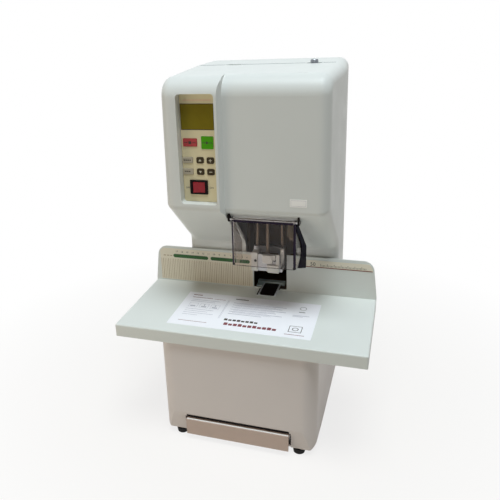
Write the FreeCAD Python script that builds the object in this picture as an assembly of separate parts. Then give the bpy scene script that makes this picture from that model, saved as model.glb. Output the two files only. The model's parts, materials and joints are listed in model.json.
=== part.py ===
"""Document riveting machine: drills a paper stack of up to 50 mm and rivets it with a nylon tube.

Millimetres. +X is the operator's right, +Y points to the back, +Z is up. The origin is on the
floor under the middle of the machine. Places on the working side are given from three datums:
the top of the worktable, the front face of the fence and the axis of the drill.
"""
import FreeCAD, Part
import math
import os
from FreeCAD import Vector

# Driving dimensions
CAPACITY = 50.0            # thickest stack that passes under the raised presser
TABLE_WIDTH = 390.0
TABLE_DEPTH = 178.0
TABLE_TOP = 200.0          # height of the worktable above the floor
FENCE_HEIGHT = 67.0
APRON_HEIGHT = 21.0
SHEET = 2.0                # sheet metal of the worktable and the drawer
MACHINE_DEPTH = 323.0
BODY_HEIGHT = 574.0        # top of the covers at the back
BODY_WIDTH = 264.0         # widest, at the joint line of the covers
BODY_WIDTH_FRONT = 247.0   # at the front of the base
BODY_WIDTH_BACK = 252.0
HEAD_DRAFT = 5.0           # the head is this much narrower on each side at its top
WALL = 3.0                 # moulded housings
HOLE_MARGIN = 14.0         # drill axis to the paper's edge at the fence
DRILL_X = 17.0
DRILL_RADIUS = 3.0
DRILL_BORE_RADIUS = 2.0
RAM_OFFSET = 41.0          # rivet ram to the right of the drill
GUARD_WIDTH = 100.0
FOOT_HEIGHT = 9.0
GAP = 0.5                  # joint lines between neighbouring covers
RUNNING = 0.05             # radial clearance of running fits
FREE = 1.0                 # clearance round pieces that pass without touching

# Datums worked out from them
FRONT = -MACHINE_DEPTH / 2
BACK = MACHINE_DEPTH / 2
FENCE = FRONT + TABLE_DEPTH
DRILL_Y = FENCE - HOLE_MARGIN
TABLE_UNDER = TABLE_TOP - SHEET
RAM_X = DRILL_X + RAM_OFFSET


# ---------------------------------------------------------------- helpers

def box(x0, x1, y0, y1, z0, z1):
    """Block between two corners."""
    return Part.makeBox(x1 - x0, y1 - y0, z1 - z0, Vector(x0, y0, z0))


def rod(radius, start, end):
    """Round bar from one point to another."""
    line = Vector(*end) - Vector(*start)
    return Part.makeCylinder(radius, line.Length, Vector(*start), line)


def post(radius, x, y, z0, z1):
    """Upright round bar."""
    return rod(radius, (x, y, z0), (x, y, z1))


def cone(radius_start, radius_end, x, y, z0, z1):
    """Upright tapered bar."""
    return Part.makeCone(radius_start, radius_end, z1 - z0, Vector(x, y, z0), Vector(0, 0, 1))


def corner_arc(before, corner, after, radius):
    """Ends and middle of the arc that rounds one corner of an outline."""
    to_before = (before - corner).normalize()
    to_after = (after - corner).normalize()
    half = to_before.getAngle(to_after) / 2
    start = corner + to_before * (radius / math.tan(half))
    end = corner + to_after * (radius / math.tan(half))
    centre = corner + (to_before + to_after).normalize() * (radius / math.sin(half))
    middle = centre + (corner - centre).normalize() * radius
    return start, middle, end


def outline(corners, place):
    """Closed wire through (a, b) or (a, b, radius) corners, mapped to space by place(a, b)."""
    points = [place(corner[0], corner[1]) for corner in corners]
    edges = []
    ends = []
    for i, corner in enumerate(corners):
        here = points[i]
        if len(corner) < 3:
            ends.append((here, here))
            continue
        after = points[(i + 1) % len(points)]
        start, middle, end = corner_arc(points[i - 1], here, after, corner[2])
        edges.append(Part.Arc(start, middle, end).toShape())
        ends.append((start, end))
    for i in range(len(ends)):
        leave = ends[i - 1][1]
        arrive = ends[i][0]
        if (arrive - leave).Length > 1e-6:
            edges.append(Part.LineSegment(leave, arrive).toShape())
    return Part.Wire(Part.__sortEdges__(edges))


def slab_z(corners, z0, z1):
    """Plan outline (x, y) raised from z0 to z1."""
    face = Part.Face(outline(corners, lambda a, b: Vector(a, b, z0)))
    return face.extrude(Vector(0, 0, z1 - z0))


def slab_y(corners, y0, y1):
    """Front outline (x, z) carried from y0 to y1."""
    face = Part.Face(outline(corners, lambda a, b: Vector(a, y0, b)))
    return face.extrude(Vector(0, y1 - y0, 0))


def slab_x(corners, x0, x1):
    """Side outline (y, z) carried from x0 to x1."""
    face = Part.Face(outline(corners, lambda a, b: Vector(x0, a, b)))
    return face.extrude(Vector(x1 - x0, 0, 0))


def rectangle(a0, a1, b0, b1, radius=0.0):
    """Corners of a rectangle, rounded where a radius is given."""
    corners = [(a0, b0), (a1, b0), (a1, b1), (a0, b1)]
    if radius:
        corners = [(a, b, radius) for a, b in corners]
    return corners


def edges_where(shape, test):
    """Edges whose middle point passes the test."""
    def middle(edge):
        return edge.valueAt((edge.FirstParameter + edge.LastParameter) / 2)
    return [edge for edge in shape.Edges if test(middle(edge))]


def fuse(shapes):
    """One solid from touching ones."""
    return shapes[0].multiFuse(shapes[1:]).removeSplitter()


def cut_all(shape, tools):
    """The shape without any of the tools."""
    for tool in tools:
        shape = shape.cut(tool)
    return shape


def save(name, *shapes):
    """Write one named sub-part; separate solids may share a node."""
    shape = shapes[0] if len(shapes) == 1 else Part.makeCompound(list(shapes))
    if not shape.Solids or not all(solid.isValid() for solid in shape.Solids):
        raise ValueError(name + " is not made of valid solids")
    shape.exportStep("parts/" + name + ".step")


# ---------------------------------------------------------------- outline of the body

HEAD_FRONT = FENCE - 94.0          # main cover
PILLAR_STEP = 12.0                 # the control pillar stands this far in front of it
PILLAR_FRONT = HEAD_FRONT - PILLAR_STEP
PILLAR_RIGHT = -35.0
PILLAR_FLANK = 4.0                 # sideways run of its slanted flank
PILLAR_CHIN_Z = TABLE_TOP + 173.5   # its own chin starts here and is a little lower
NECK_FRONT = FENCE + 5.0
CHIN_FRONT_Z = TABLE_TOP + 172.0
CHIN_BACK_Z = TABLE_TOP + 83.0
TOP_FRONT_Z = BODY_HEIGHT - 6.0
BASE_FRONT = FRONT + 4.5
SEAM_Y = FENCE + 55.0
TOP_ROLL = 28.0
SIDE_ROLL = 16.0
CORNER_ROLL = 24.0
BASE_ROLL = 20.0
BASE_TUCK = 6.0                    # the front of the base leans back this far at the bottom
BEYOND = 30.0                      # how far cutting shapes pass the body


def half_width(y, inset=0.0):
    """Half of the body's width: both covers narrow away from the joint line."""
    widest = BODY_WIDTH / 2
    if y < SEAM_Y:
        end = BODY_WIDTH_FRONT / 2
        share = (SEAM_Y - y) / (SEAM_Y - BASE_FRONT)
    else:
        end = BODY_WIDTH_BACK / 2
        share = (y - SEAM_Y) / (BACK - SEAM_Y)
    return widest + (end - widest) * share - inset


def body_plan(front, inset, lean=0.0):
    """Corners of the body's plan from a front plane to the back, drawn in by lean on both sides."""
    nose = half_width(front + inset, inset) - lean
    side = half_width(SEAM_Y, inset) - lean
    tail = half_width(BACK, inset) - lean
    back = BACK - inset
    return [(-nose, front + inset), (nose, front + inset), (side, SEAM_Y), (tail, back),
            (-tail, back), (-side, SEAM_Y)]


def chin_z(y):
    """Height of the chin's sloping underside."""
    slope = (CHIN_BACK_Z - CHIN_FRONT_Z) / (NECK_FRONT - HEAD_FRONT)
    return CHIN_FRONT_Z + slope * (y - HEAD_FRONT)


def top_z(y):
    """Height of the top, which rises gently to the back."""
    slope = (BODY_HEIGHT - TOP_FRONT_Z) / (BACK - HEAD_FRONT)
    return TOP_FRONT_Z + slope * (y - HEAD_FRONT)


def chin_corners(front, inset):
    """Lower front corner of the main cover or of the pillar."""
    if front == HEAD_FRONT:
        return [(front + inset, chin_z(front) + 1.4 * inset, 8.0)]
    return [(front + inset, PILLAR_CHIN_Z + 1.1 * inset, 12.0)]


def head_profile(front, inset):
    """Side outline of the head and neck."""
    neck = NECK_FRONT + inset
    start = [(neck, TABLE_UNDER), (neck, chin_z(NECK_FRONT) + inset * 1.4, 10.0)]
    end = [(front + inset, top_z(front) - inset), (BACK - inset, BODY_HEIGHT - inset),
           (BACK - inset, TABLE_UNDER)]
    return start + chin_corners(front, inset) + end


def drafted_form(front, inset):
    """Upright body with flat sides that lean in from the worktable to the top."""
    rims = []
    for z in (TABLE_UNDER, BODY_HEIGHT + BEYOND):
        lean = HEAD_DRAFT * (z - TABLE_UNDER) / (BODY_HEIGHT - TABLE_UNDER)
        rims.append([Vector(x, y, z) for x, y in body_plan(front, inset, lean)])
    low, high = rims
    faces = [Part.Face(Part.makePolygon(rim + [rim[0]])) for rim in rims]
    for i in range(len(low)):
        wall = [low[i - 1], low[i], high[i], high[i - 1], low[i - 1]]
        faces.append(Part.Face(Part.makePolygon(wall)))
    form = Part.Solid(Part.Shell(faces))
    if form.Volume < 0:
        form.reverse()
    return form


def head_block(front, inset):
    """Head and neck as one rounded form, inset from the outer skin."""
    block = slab_x(head_profile(front, inset), -TABLE_WIDTH / 2, TABLE_WIDTH / 2)
    block = block.common(drafted_form(front, inset))
    narrow = half_width(front + inset, inset) - HEAD_DRAFT - 2.0
    top = top_z(front) - inset
    lip = edges_where(block, lambda m: abs(m.z - top) < 0.1 and abs(m.x) < 1.0)
    block = block.makeFillet(TOP_ROLL - inset, lip)
    rear = edges_where(block, lambda m: m.y > BACK - inset - 0.1 and m.z > top and abs(m.x) < 1.0)
    block = block.makeFillet(SIDE_ROLL - inset, rear)
    low = chin_z(front) + BEYOND

    def on_side(m):
        at_top = m.z > top - TOP_ROLL
        at_front = m.y < front + inset + 1.0 and m.z > low
        at_back = m.y > BACK - inset - 0.5
        return abs(m.x) > narrow and (at_top or at_front or at_back)
    return block.makeFillet(SIDE_ROLL - inset, edges_where(block, on_side))


def pillar_region(inset):
    """Everything to the left of the pillar's slanted flank."""
    right = PILLAR_RIGHT - inset
    flank = right + PILLAR_FLANK
    ahead = PILLAR_FRONT - BEYOND
    behind = NECK_FRONT - 4.0
    corners = [(-TABLE_WIDTH / 2, ahead), (right - PILLAR_FLANK, ahead), (right, PILLAR_FRONT + 1.0, 2.0),
               (flank, HEAD_FRONT), (flank, behind), (-TABLE_WIDTH / 2, behind)]
    return slab_z(corners, 0.0, BODY_HEIGHT + BEYOND)


def head_form(inset):
    """Head with its control pillar, inset from the outer skin."""
    main = head_block(HEAD_FRONT, inset)
    pillar = head_block(PILLAR_FRONT, inset).common(pillar_region(inset))
    return fuse([main, pillar])


# ---------------------------------------------------------------- control panel

PANEL_LEFT = -96.5
PANEL_RIGHT = -39.0
PANEL_LOW = TABLE_TOP + 183.0
PANEL_HIGH = TABLE_TOP + 346.0
PANEL_FLOOR = PILLAR_FRONT + 15.0
PANEL_DRAFT = 0.5
PANEL_SHEET = 1.2
PANEL_FACE = PANEL_FLOOR - PANEL_SHEET
KEY_TRAVEL = 0.6
KEY_PROUD = 1.0
KEY_GAP = 0.3
KEY_SEAT = 0.2                     # how far a key stands in its well at rest
KEY_WELL = KEY_TRAVEL + KEY_SEAT + 0.2
SWITCH_X = -71.0
SWITCH_Z = TABLE_TOP + 206.7
SWITCH_WIDTH = 28.0
SWITCH_HEIGHT = 22.0
ROCKER_WIDTH = 18.0
ROCKER_HEIGHT = 16.0
LCD_CENTRE = (-69.0, TABLE_TOP + 312.0)
LCD_SIZE = (50.0, 36.0)


def key_layout():
    """Centre and size of each key: name, x, z, width, height, corner radius."""
    keys = [("stop_key", -82.0, TABLE_TOP + 274.5, 22.0, 12.0, 1.0),
            ("start_key", -55.0, TABLE_TOP + 274.5, 18.5, 18.5, 1.0)]
    upper = TABLE_TOP + 248.0
    pitch_z = 17.4
    for row in range(2):
        z = upper - row * pitch_z
        keys.append(("function_key_%d" % (row + 1), -87.5, z, 17.0, 8.8, 1.0))
        for column in range(2):
            name = "menu_key_%d" % (2 * row + column + 1)
            keys.append((name, -67.5 + 16.2 * column, z, 11.6, 9.4, 2.5))
    return keys


def panel_pocket(grow):
    """Tapered pocket for the control panel, grown for the wall round it."""
    rims = []
    for y, shrink in ((PILLAR_FRONT - 1.0, 0.0), (PANEL_FLOOR + grow, PANEL_DRAFT)):
        size = grow - shrink
        corners = rectangle(PANEL_LEFT - size, PANEL_RIGHT + min(size, 1.5), PANEL_LOW - size,
                            PANEL_HIGH + size, 5.0)
        rims.append(outline(corners, lambda a, b, y=y: Vector(a, y, b)))
    return Part.makeLoft(rims, True, True)


def key_prism(key, grow, y0, y1):
    """Upright block with the key's outline, grown all round."""
    x, z, width, height, radius = key[1:]
    a = width / 2 + grow
    b = height / 2 + grow
    return slab_y(rectangle(x - a, x + a, z - b, z + b, radius + max(0.0, grow)), y0, y1)


def switch_opening(margin):
    """Rectangular hole behind the power switch."""
    a = SWITCH_WIDTH / 2 - 2.5 + margin
    b = SWITCH_HEIGHT / 2 - 2.0 + margin
    return box(SWITCH_X - a, SWITCH_X + a, PANEL_FACE - 1.0, PANEL_FLOOR + WALL + 1.0,
               SWITCH_Z - b, SWITCH_Z + b)


def panel_tray():
    """Recessed tray that sits behind the pillar's front wall, with a shallow well for each key."""
    behind = box(-TABLE_WIDTH / 2, 0.0, PILLAR_FRONT + WALL, PILLAR_FRONT + 3 * BEYOND, 0.0, BODY_HEIGHT)
    tray = panel_pocket(WALL).common(behind).common(head_form(WALL))
    wells = [key_prism(key, KEY_GAP, PANEL_FLOOR - 0.1, PANEL_FLOOR + KEY_WELL) for key in key_layout()]
    save("panel_tray", cut_all(tray, [panel_pocket(0.0), switch_opening(0.0)] + wells))


def control_panel():
    """Membrane plate with openings for the keys, the display and the switch."""
    clear = PANEL_DRAFT + 0.5
    corners = rectangle(PANEL_LEFT + clear, PANEL_RIGHT - clear, PANEL_LOW + clear, PANEL_HIGH - clear, 3.5)
    plate = slab_y(corners, PANEL_FACE, PANEL_FLOOR)
    openings = [key_prism(key, KEY_GAP, PANEL_FACE - 1.0, PANEL_FLOOR + 1.0) for key in key_layout()]
    openings.append(switch_opening(0.0))
    x, z = LCD_CENTRE
    a = LCD_SIZE[0] / 2
    b = LCD_SIZE[1] / 2
    openings.append(slab_y(rectangle(x - a, x + a, z - b, z + b), PANEL_FACE - 1.0, PANEL_FLOOR - 0.4))
    save("control_panel", cut_all(plate, openings))
    save("lcd_window", slab_y(rectangle(x - a, x + a, z - b, z + b), PANEL_FACE - 0.3, PANEL_FLOOR - 0.4))


def keys():
    """Key caps that stand a little proud of the membrane."""
    for key in key_layout():
        cap = key_prism(key, 0.0, PANEL_FACE - KEY_PROUD, PANEL_FLOOR + KEY_SEAT)
        face = PANEL_FACE - KEY_PROUD
        rim = edges_where(cap, lambda m, face=face: m.y < face + 0.01)
        save(key[0], cap.makeChamfer(0.4, rim))


def power_switch():
    """Frame of the switch and the rocker that tilts sideways in it."""
    face = PANEL_FACE - 1.8
    a = SWITCH_WIDTH / 2
    b = SWITCH_HEIGHT / 2
    frame = slab_y(rectangle(SWITCH_X - a, SWITCH_X + a, SWITCH_Z - b, SWITCH_Z + b, 1.0), face, PANEL_FACE)
    body = switch_opening(-0.05).common(box(-200, 0, PANEL_FACE - 0.5, PANEL_FLOOR + WALL, 0, 600))
    frame = fuse([frame, body])
    mouth_a = ROCKER_WIDTH / 2 + 1.4
    mouth_b = ROCKER_HEIGHT / 2 + 0.4
    mouth = box(SWITCH_X - mouth_a, SWITCH_X + mouth_a, face - 1.0, PANEL_FLOOR + WALL - 1.0,
                SWITCH_Z - mouth_b, SWITCH_Z + mouth_b)
    save("switch_frame", frame.cut(mouth))
    save("power_rocker", rocker(face))


ROCKER_TILT = 9.0
ROCKER_DEPTH = 3.0


def rocker(face):
    """Rocker with two shallow facets, at rest with its right side pressed in."""
    a = ROCKER_WIDTH / 2
    pivot = face + ROCKER_DEPTH
    rise = a * math.tan(math.radians(ROCKER_TILT))
    front = face - 0.6
    low = SWITCH_Z - ROCKER_HEIGHT / 2
    high = SWITCH_Z + ROCKER_HEIGHT / 2
    tips = front - rise / 2
    corners = [(SWITCH_X - a, tips), (SWITCH_X, front + 0.4), (SWITCH_X + a, tips),
               (SWITCH_X + a - 1.0, pivot - 0.6), (SWITCH_X, pivot + 0.6), (SWITCH_X - a + 1.0, pivot - 0.6)]
    body = slab_z(corners, low, high)
    body.rotate(Vector(SWITCH_X, pivot, 0), Vector(0, 0, 1), ROCKER_TILT)
    return body


# ---------------------------------------------------------------- housings

CAVITY_LEFT = -26.0
CAVITY_RIGHT = 69.0
CAVITY_FRONT = FENCE - 70.0
THROAT_RIGHT = 60.0
RECESS_X = (-53.0, 77.0)
RECESS_DEPTH = 2.5
RECESS_HALF = 5.0
RECESS_RADIUS = 8.0
TUBE_X = 77.0
TUBE_RADIUS = 3.0


def oval_recess(x, grow):
    """Finger-wide oval dimple in the top cover, across the joint line."""
    low = top_z(SEAM_Y) - RECESS_DEPTH - grow
    radius = RECESS_RADIUS + grow
    corners = rectangle(x - RECESS_HALF - radius, x + RECESS_HALF + radius, SEAM_Y - radius,
                        SEAM_Y + radius, radius - 0.01)
    return slab_z(corners, low, BODY_HEIGHT + 2.0)


def head_shell():
    """Hollow head and neck before it is parted at the joint line."""
    outer = head_form(0.0)
    shell = outer.cut(head_form(WALL))
    shell = shell.multiFuse([oval_recess(x, WALL).common(outer) for x in RECESS_X])
    tube_hole = post(TUBE_RADIUS + 1.0, TUBE_X, SEAM_Y, CHIN_BACK_Z, BODY_HEIGHT)
    return cut_all(shell, [panel_pocket(0.0), tube_hole] + [oval_recess(x, 0.0) for x in RECESS_X])


def cavity_cut():
    """Opening in the chin and the neck for the drill, the presser and the rivet head."""
    over = 12.0
    back = NECK_FRONT + over
    low = CHIN_BACK_Z - 4.0
    corners = [(CAVITY_FRONT, chin_z(CAVITY_FRONT) - over), (CAVITY_FRONT, chin_z(CAVITY_FRONT) + over),
               (back, chin_z(back) + 2 * over), (back, low), (NECK_FRONT - over, low)]
    chin = slab_x(corners, CAVITY_LEFT, CAVITY_RIGHT)
    throat = box(CAVITY_LEFT, THROAT_RIGHT, NECK_FRONT - 2.0, back, TABLE_UNDER - 1.0, CHIN_BACK_Z + over)
    return chin.fuse(throat)


def joint_tongue():
    """Thin rim of the rear cover that closes the joint line from inside."""
    low = TABLE_UNDER + 6.0
    zone = box(-200, 200, SEAM_Y - 5.0, SEAM_Y + 4.0, low, BODY_HEIGHT)
    rim = head_block(HEAD_FRONT, WALL + 0.05).cut(head_block(HEAD_FRONT, WALL + 2.0)).common(zone)
    seat = box(-200, 200, SEAM_Y + GAP / 2, SEAM_Y + 4.0, low, BODY_HEIGHT)
    root = head_block(HEAD_FRONT, WALL - 0.2).cut(head_block(HEAD_FRONT, WALL + 1.0)).common(seat)
    clear = [oval_recess(x, WALL + 0.1) for x in RECESS_X]
    return cut_all(rim, clear), cut_all(root, clear)


def vent_slots():
    """Rows of rounded slots in the back wall."""
    slots = []
    for row in range(8):
        z = TABLE_TOP + 240.0 + 9.0 * row
        slots.append(slab_y(rectangle(-45.0, 45.0, z, z + 4.0, 1.9), BACK - 8.0, BACK + 2.0))
    return slots


def head_housings():
    """Front cover with the pillar and the chin, and rear cover with its vents."""
    shell = head_shell()
    front_zone = box(-200, 200, FRONT, SEAM_Y - GAP / 2, TABLE_UNDER, BODY_HEIGHT + 5.0)
    rear_zone = box(-200, 200, SEAM_Y + GAP / 2, BACK + 5.0, TABLE_UNDER, BODY_HEIGHT + 5.0)
    save("front_housing", shell.common(front_zone).cut(cavity_cut()))
    rim, root = joint_tongue()
    rear = fuse([shell.common(rear_zone), root, rim])
    save("rear_housing", cut_all(rear, vent_slots()))


DRAWER_HALF = 84.0
DRAWER_TOP = FOOT_HEIGHT + 29.5
DRAWER_GAP = 2.7
DRAWER_PROUD = 3.5
DRAWER_LENGTH = 150.0
FOOT_X = 98.0
FOOT_RADIUS = 10.0
FOOT_FRONT_Y = BASE_FRONT + 14.5
FOOT_BACK_Y = BACK - 24.0
INLET_X = 60.0
INLET_Z = 70.0


def foot_places():
    """Centres of the four feet."""
    return [(x, y) for x in (-FOOT_X, FOOT_X) for y in (FOOT_FRONT_Y, FOOT_BACK_Y)]


def base_block(inset):
    """Base as one rounded form: it widens to the back and rolls in at the bottom."""
    low = FOOT_HEIGHT + inset
    front = BASE_FRONT + inset
    nose = half_width(front, inset)
    side = half_width(SEAM_Y, inset)
    back = BACK - inset
    rolls = {front: CORNER_ROLL - inset, back: SIDE_ROLL - inset}
    plan = [corner + (rolls[corner[1]],) if corner[1] in rolls else corner
            for corner in body_plan(BASE_FRONT, inset)]
    roll = BASE_ROLL - inset
    face = [(-side, TABLE_UNDER), (-side, low + 2 * roll), (-nose, low, roll), (nose, low, roll),
            (side, low + 2 * roll), (side, TABLE_UNDER)]
    profile = [(front, TABLE_UNDER), (front, low + 39.0), (front + BASE_TUCK, low, 5.0 - inset),
               (back, low, 10.0 - inset), (back, TABLE_UNDER)]
    block = slab_z(plan, FOOT_HEIGHT, TABLE_UNDER)
    block = block.common(slab_y(face, FRONT, BACK + 5.0))
    return block.common(slab_x(profile, -200, 200))


def base_housing():
    """Open-topped tub that stands on the feet and holds the drawer."""
    outer = base_block(0.0)
    shell = outer.cut(base_block(WALL))
    bosses = [post(FOOT_RADIUS + 0.5, x, y, FOOT_HEIGHT, FOOT_HEIGHT + WALL).common(outer)
              for x, y in foot_places()]
    shell = fuse([shell] + bosses)
    half = DRAWER_HALF + DRAWER_GAP
    mouth = box(-half, half, FRONT, BASE_FRONT + WALL + BASE_TUCK + 1.0, 0.0, DRAWER_TOP + DRAWER_GAP)
    sockets = [post(4.0, x, y, 0.0, FOOT_HEIGHT + 2.0) for x, y in foot_places()]
    inlet = box(INLET_X - 14.0, INLET_X + 14.0, BACK - 8.0, BACK + 5.0, INLET_Z - 10.0, INLET_Z + 10.0)
    save("base_housing", cut_all(shell, [mouth, inlet] + sockets))


def feet():
    """Rubber feet with a spigot that plugs into the base."""
    solids = []
    for x, y in foot_places():
        pad = cone(FOOT_RADIUS - 1.2, FOOT_RADIUS, x, y, 0.0, FOOT_HEIGHT)
        rim = edges_where(pad, lambda m: m.z < 0.01)
        pad = pad.makeChamfer(1.0, rim)
        solids.append(fuse([pad, post(4.0, x, y, FOOT_HEIGHT - 1.0, FOOT_HEIGHT + 2.0)]))
    save("rubber_feet", *solids)


# ---------------------------------------------------------------- chip drawer

TRAY_HALF = DRAWER_HALF - 3.0
TRAY_SHEET = 1.2
LIP_DEPTH = 7.0


def chip_drawer():
    """Front plate with a folded lip, and the tray behind it."""
    low = FOOT_HEIGHT + 0.8
    face = BASE_FRONT - DRAWER_PROUD
    plate = box(-DRAWER_HALF, DRAWER_HALF, face, face + SHEET, low, DRAWER_TOP)
    lip = box(-DRAWER_HALF, DRAWER_HALF, face, face + LIP_DEPTH, DRAWER_TOP - SHEET, DRAWER_TOP)
    front = fuse([plate, lip])
    fold = edges_where(front, lambda m: m.y < face + 0.01 and m.z > DRAWER_TOP - 0.01)
    save("drawer_front", front.makeFillet(1.0, fold))
    start = face + SHEET
    end = start + DRAWER_LENGTH
    base = FOOT_HEIGHT + WALL + TRAY_SHEET + 0.2
    top = DRAWER_TOP - SHEET - FREE
    tray = box(-TRAY_HALF, TRAY_HALF, start, end, base, top)
    inner = TRAY_HALF - TRAY_SHEET
    hollow = box(-inner, inner, start + TRAY_SHEET, end - TRAY_SHEET, base + TRAY_SHEET, top + 1.0)
    save("drawer_tray", tray.cut(hollow))


def drawer_runners():
    """Angle rails that carry the tray on both sides."""
    inner = TRAY_HALF + 0.6
    outer = inner + TRAY_SHEET
    start = BASE_FRONT + WALL + 14.0
    end = start + DRAWER_LENGTH - 20.0
    floor = FOOT_HEIGHT + WALL
    wall = box(inner, outer, start, end, floor, DRAWER_TOP)
    foot = box(TRAY_HALF - 6.0, outer, start, end, floor, floor + TRAY_SHEET)
    rail = fuse([wall, foot])
    save("drawer_runners", rail, rail.mirror(Vector(0, 0, 0), Vector(1, 0, 0)))


# ---------------------------------------------------------------- worktable

FENCE_ROLL = 18.0
FENCE_TAPER = 8.0
SLOT_LEFT = DRILL_X - 16.5
SLOT_RIGHT = DRILL_X + 17.5
ANVIL_RADIUS = 7.0
NOTCH_LEFT = -11.5
NOTCH_RIGHT = 46.0
NOTCH_SILL = 2.5                   # stays under the presser at its lowest
TABLE_ROLL = 2.5
FILM = 0.3


def fence_corners(inset):
    """Front outline of the fence, which tapers to rounded top corners."""
    foot = TABLE_WIDTH / 2 - inset
    top = foot - FENCE_TAPER
    high = TABLE_TOP + FENCE_HEIGHT - inset
    roll = FENCE_ROLL - inset
    return [(-foot, TABLE_UNDER), (foot, TABLE_UNDER), (foot, TABLE_TOP + 4.0), (top, high, roll),
            (-top, high, roll), (-foot, TABLE_TOP + 4.0)]


def worktable():
    """Folded sheet with an apron on three sides and the fence at the back."""
    half = TABLE_WIDTH / 2
    low = TABLE_TOP - APRON_HEIGHT
    block = box(-half, half, FRONT, FENCE + SHEET, low, TABLE_TOP)

    def on_rim(m):
        on_top = m.z > TABLE_TOP - 0.1 and m.y < FENCE
        upright = abs(m.y - FRONT) < 0.1 and abs(m.z - (low + TABLE_TOP) / 2) < 1.0
        return on_top or upright
    block = block.makeFillet(TABLE_ROLL, edges_where(block, on_rim))
    inside = box(-half + SHEET, half - SHEET, FRONT + SHEET, FENCE + BEYOND, low - 1.0, TABLE_UNDER)
    table = block.cut(inside)
    fence = slab_y(fence_corners(0.0), FENCE, FENCE + SHEET)
    table = fuse([table, fence])
    notch = box(NOTCH_LEFT, NOTCH_RIGHT, FENCE - 1.0, FENCE + SHEET + 1.0, TABLE_TOP + NOTCH_SILL,
                TABLE_TOP + FENCE_HEIGHT + 1.0)
    slot = box(SLOT_LEFT, SLOT_RIGHT, FENCE - 1.0, FENCE + SHEET + 1.0, TABLE_TOP,
               TABLE_TOP + NOTCH_SILL + 1.0)
    anvil_hole = post(ANVIL_RADIUS + FREE, DRILL_X, DRILL_Y, TABLE_UNDER - 1.0, TABLE_TOP + 1.0)
    save("worktable", cut_all(table, [notch, slot, anvil_hole]))


def table_prints():
    """Thin films: the scale and the limit strip on the fence, the sheet on the table."""
    skin = slab_y(fence_corners(2.0), FENCE - FILM, FENCE)
    scale = skin.common(box(-185.0, NOTCH_LEFT - 2.0, FENCE - 1.0, FENCE, TABLE_TOP + 2.5, TABLE_TOP + 63.0))
    save("fence_scale", scale)
    limit = TABLE_TOP + CAPACITY
    strip = skin.common(box(77.0, 190.0, FENCE - 1.0, FENCE, limit - 1.0, limit + 12.0))
    save("limit_strip", strip)
    sheet = slab_z(rectangle(-116.0, 111.0, FENCE - 154.0, FENCE - 39.0, 1.0), TABLE_TOP, TABLE_TOP + FILM)
    save("instruction_plate", sheet)


def table_beams():
    """Folded channels that stiffen the table from below."""
    solids = []
    for y in (FENCE - 140.0, FENCE - 60.0):
        half = half_width(y) - WALL - 1.0
        beam = box(-half, half, y, y + 20.0, TABLE_UNDER - 20.0, TABLE_UNDER)
        solids.append(beam.cut(box(-half, half, y + 1.5, y + 18.5, TABLE_UNDER - 21.0, TABLE_UNDER - 1.5)))
    save("table_beams", *solids)


# ---------------------------------------------------------------- frame of the mechanism

CHEEK_LEFT = -45.0
CHEEK_RIGHT = 91.0
CHEEK = 5.0
COLUMN_FRONT = FENCE + 85.0
COLUMN_BACK = FENCE + 125.0
ARM_FRONT = FENCE - 40.0
LOWER_PLATE = (TABLE_TOP + 150.0, TABLE_TOP + 158.0)
UPPER_PLATE = (TABLE_TOP + 300.0, TABLE_TOP + 308.0)
CHASSIS_TOP = FOOT_HEIGHT + WALL + 3.0
GUIDE_Y = FENCE + 20.0
GUIDE_SPREAD = 42.0
GUIDE_RADIUS = 5.0
SCREW_RADIUS = 5.0
PRESS_ROD_SPREAD = 21.0
PRESS_ROD_Y = FENCE + 2.0
PRESS_ROD_RADIUS = 3.0
RAM_RADIUS = 6.0
MOTOR_Y = FENCE + 52.0
MOTOR_RADIUS = 22.0
CHUCK_RADIUS = 12.0


def guide_places():
    """Axes of the two rods that the carriage slides on."""
    return [(DRILL_X + side * GUIDE_SPREAD, GUIDE_Y) for side in (-1, 1)]


def press_rod_places():
    """Axes of the two rods that carry the presser."""
    return [(DRILL_X + side * PRESS_ROD_SPREAD, PRESS_ROD_Y) for side in (-1, 1)]


def column_frame():
    """Welded C-frame: a foot, a back plate and two cheeks that reach forward in the head."""
    top = UPPER_PLATE[1] + 22.0
    arm_low = LOWER_PLATE[0] - 2.0
    corners = [(COLUMN_FRONT, CHASSIS_TOP), (COLUMN_BACK, CHASSIS_TOP), (COLUMN_BACK, top, 10.0),
               (ARM_FRONT, top, 20.0), (ARM_FRONT, arm_low, 6.0), (COLUMN_FRONT, arm_low - 38.0, 20.0)]
    window = rectangle(FENCE - 10.0, FENCE + 70.0, LOWER_PLATE[1] + 20.0, UPPER_PLATE[0] - 20.0, 15.0)
    cheek = slab_x(corners, 0.0, CHEEK).cut(slab_x(window, -1.0, CHEEK + 1.0))
    left = cheek.copy()
    left.translate(Vector(CHEEK_LEFT, 0, 0))
    right = cheek.copy()
    right.translate(Vector(CHEEK_RIGHT - CHEEK, 0, 0))
    back = box(CHEEK_LEFT, CHEEK_RIGHT, COLUMN_BACK - CHEEK, COLUMN_BACK, CHASSIS_TOP, top - 10.0)
    foot = box(CHEEK_LEFT - 15.0, CHEEK_RIGHT - 5.0, COLUMN_FRONT - 30.0, COLUMN_BACK + 4.0, CHASSIS_TOP,
               CHASSIS_TOP + 6.0)
    save("column_frame", fuse([left, right, back, foot]))


def base_plate():
    """Steel chassis plate on the floor of the base."""
    plate = slab_z(rectangle(-80.0, 80.0, FENCE - 20.0, BACK - 12.0, 6.0), CHASSIS_TOP - 3.0, CHASSIS_TOP)
    save("base_plate", plate)


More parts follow.
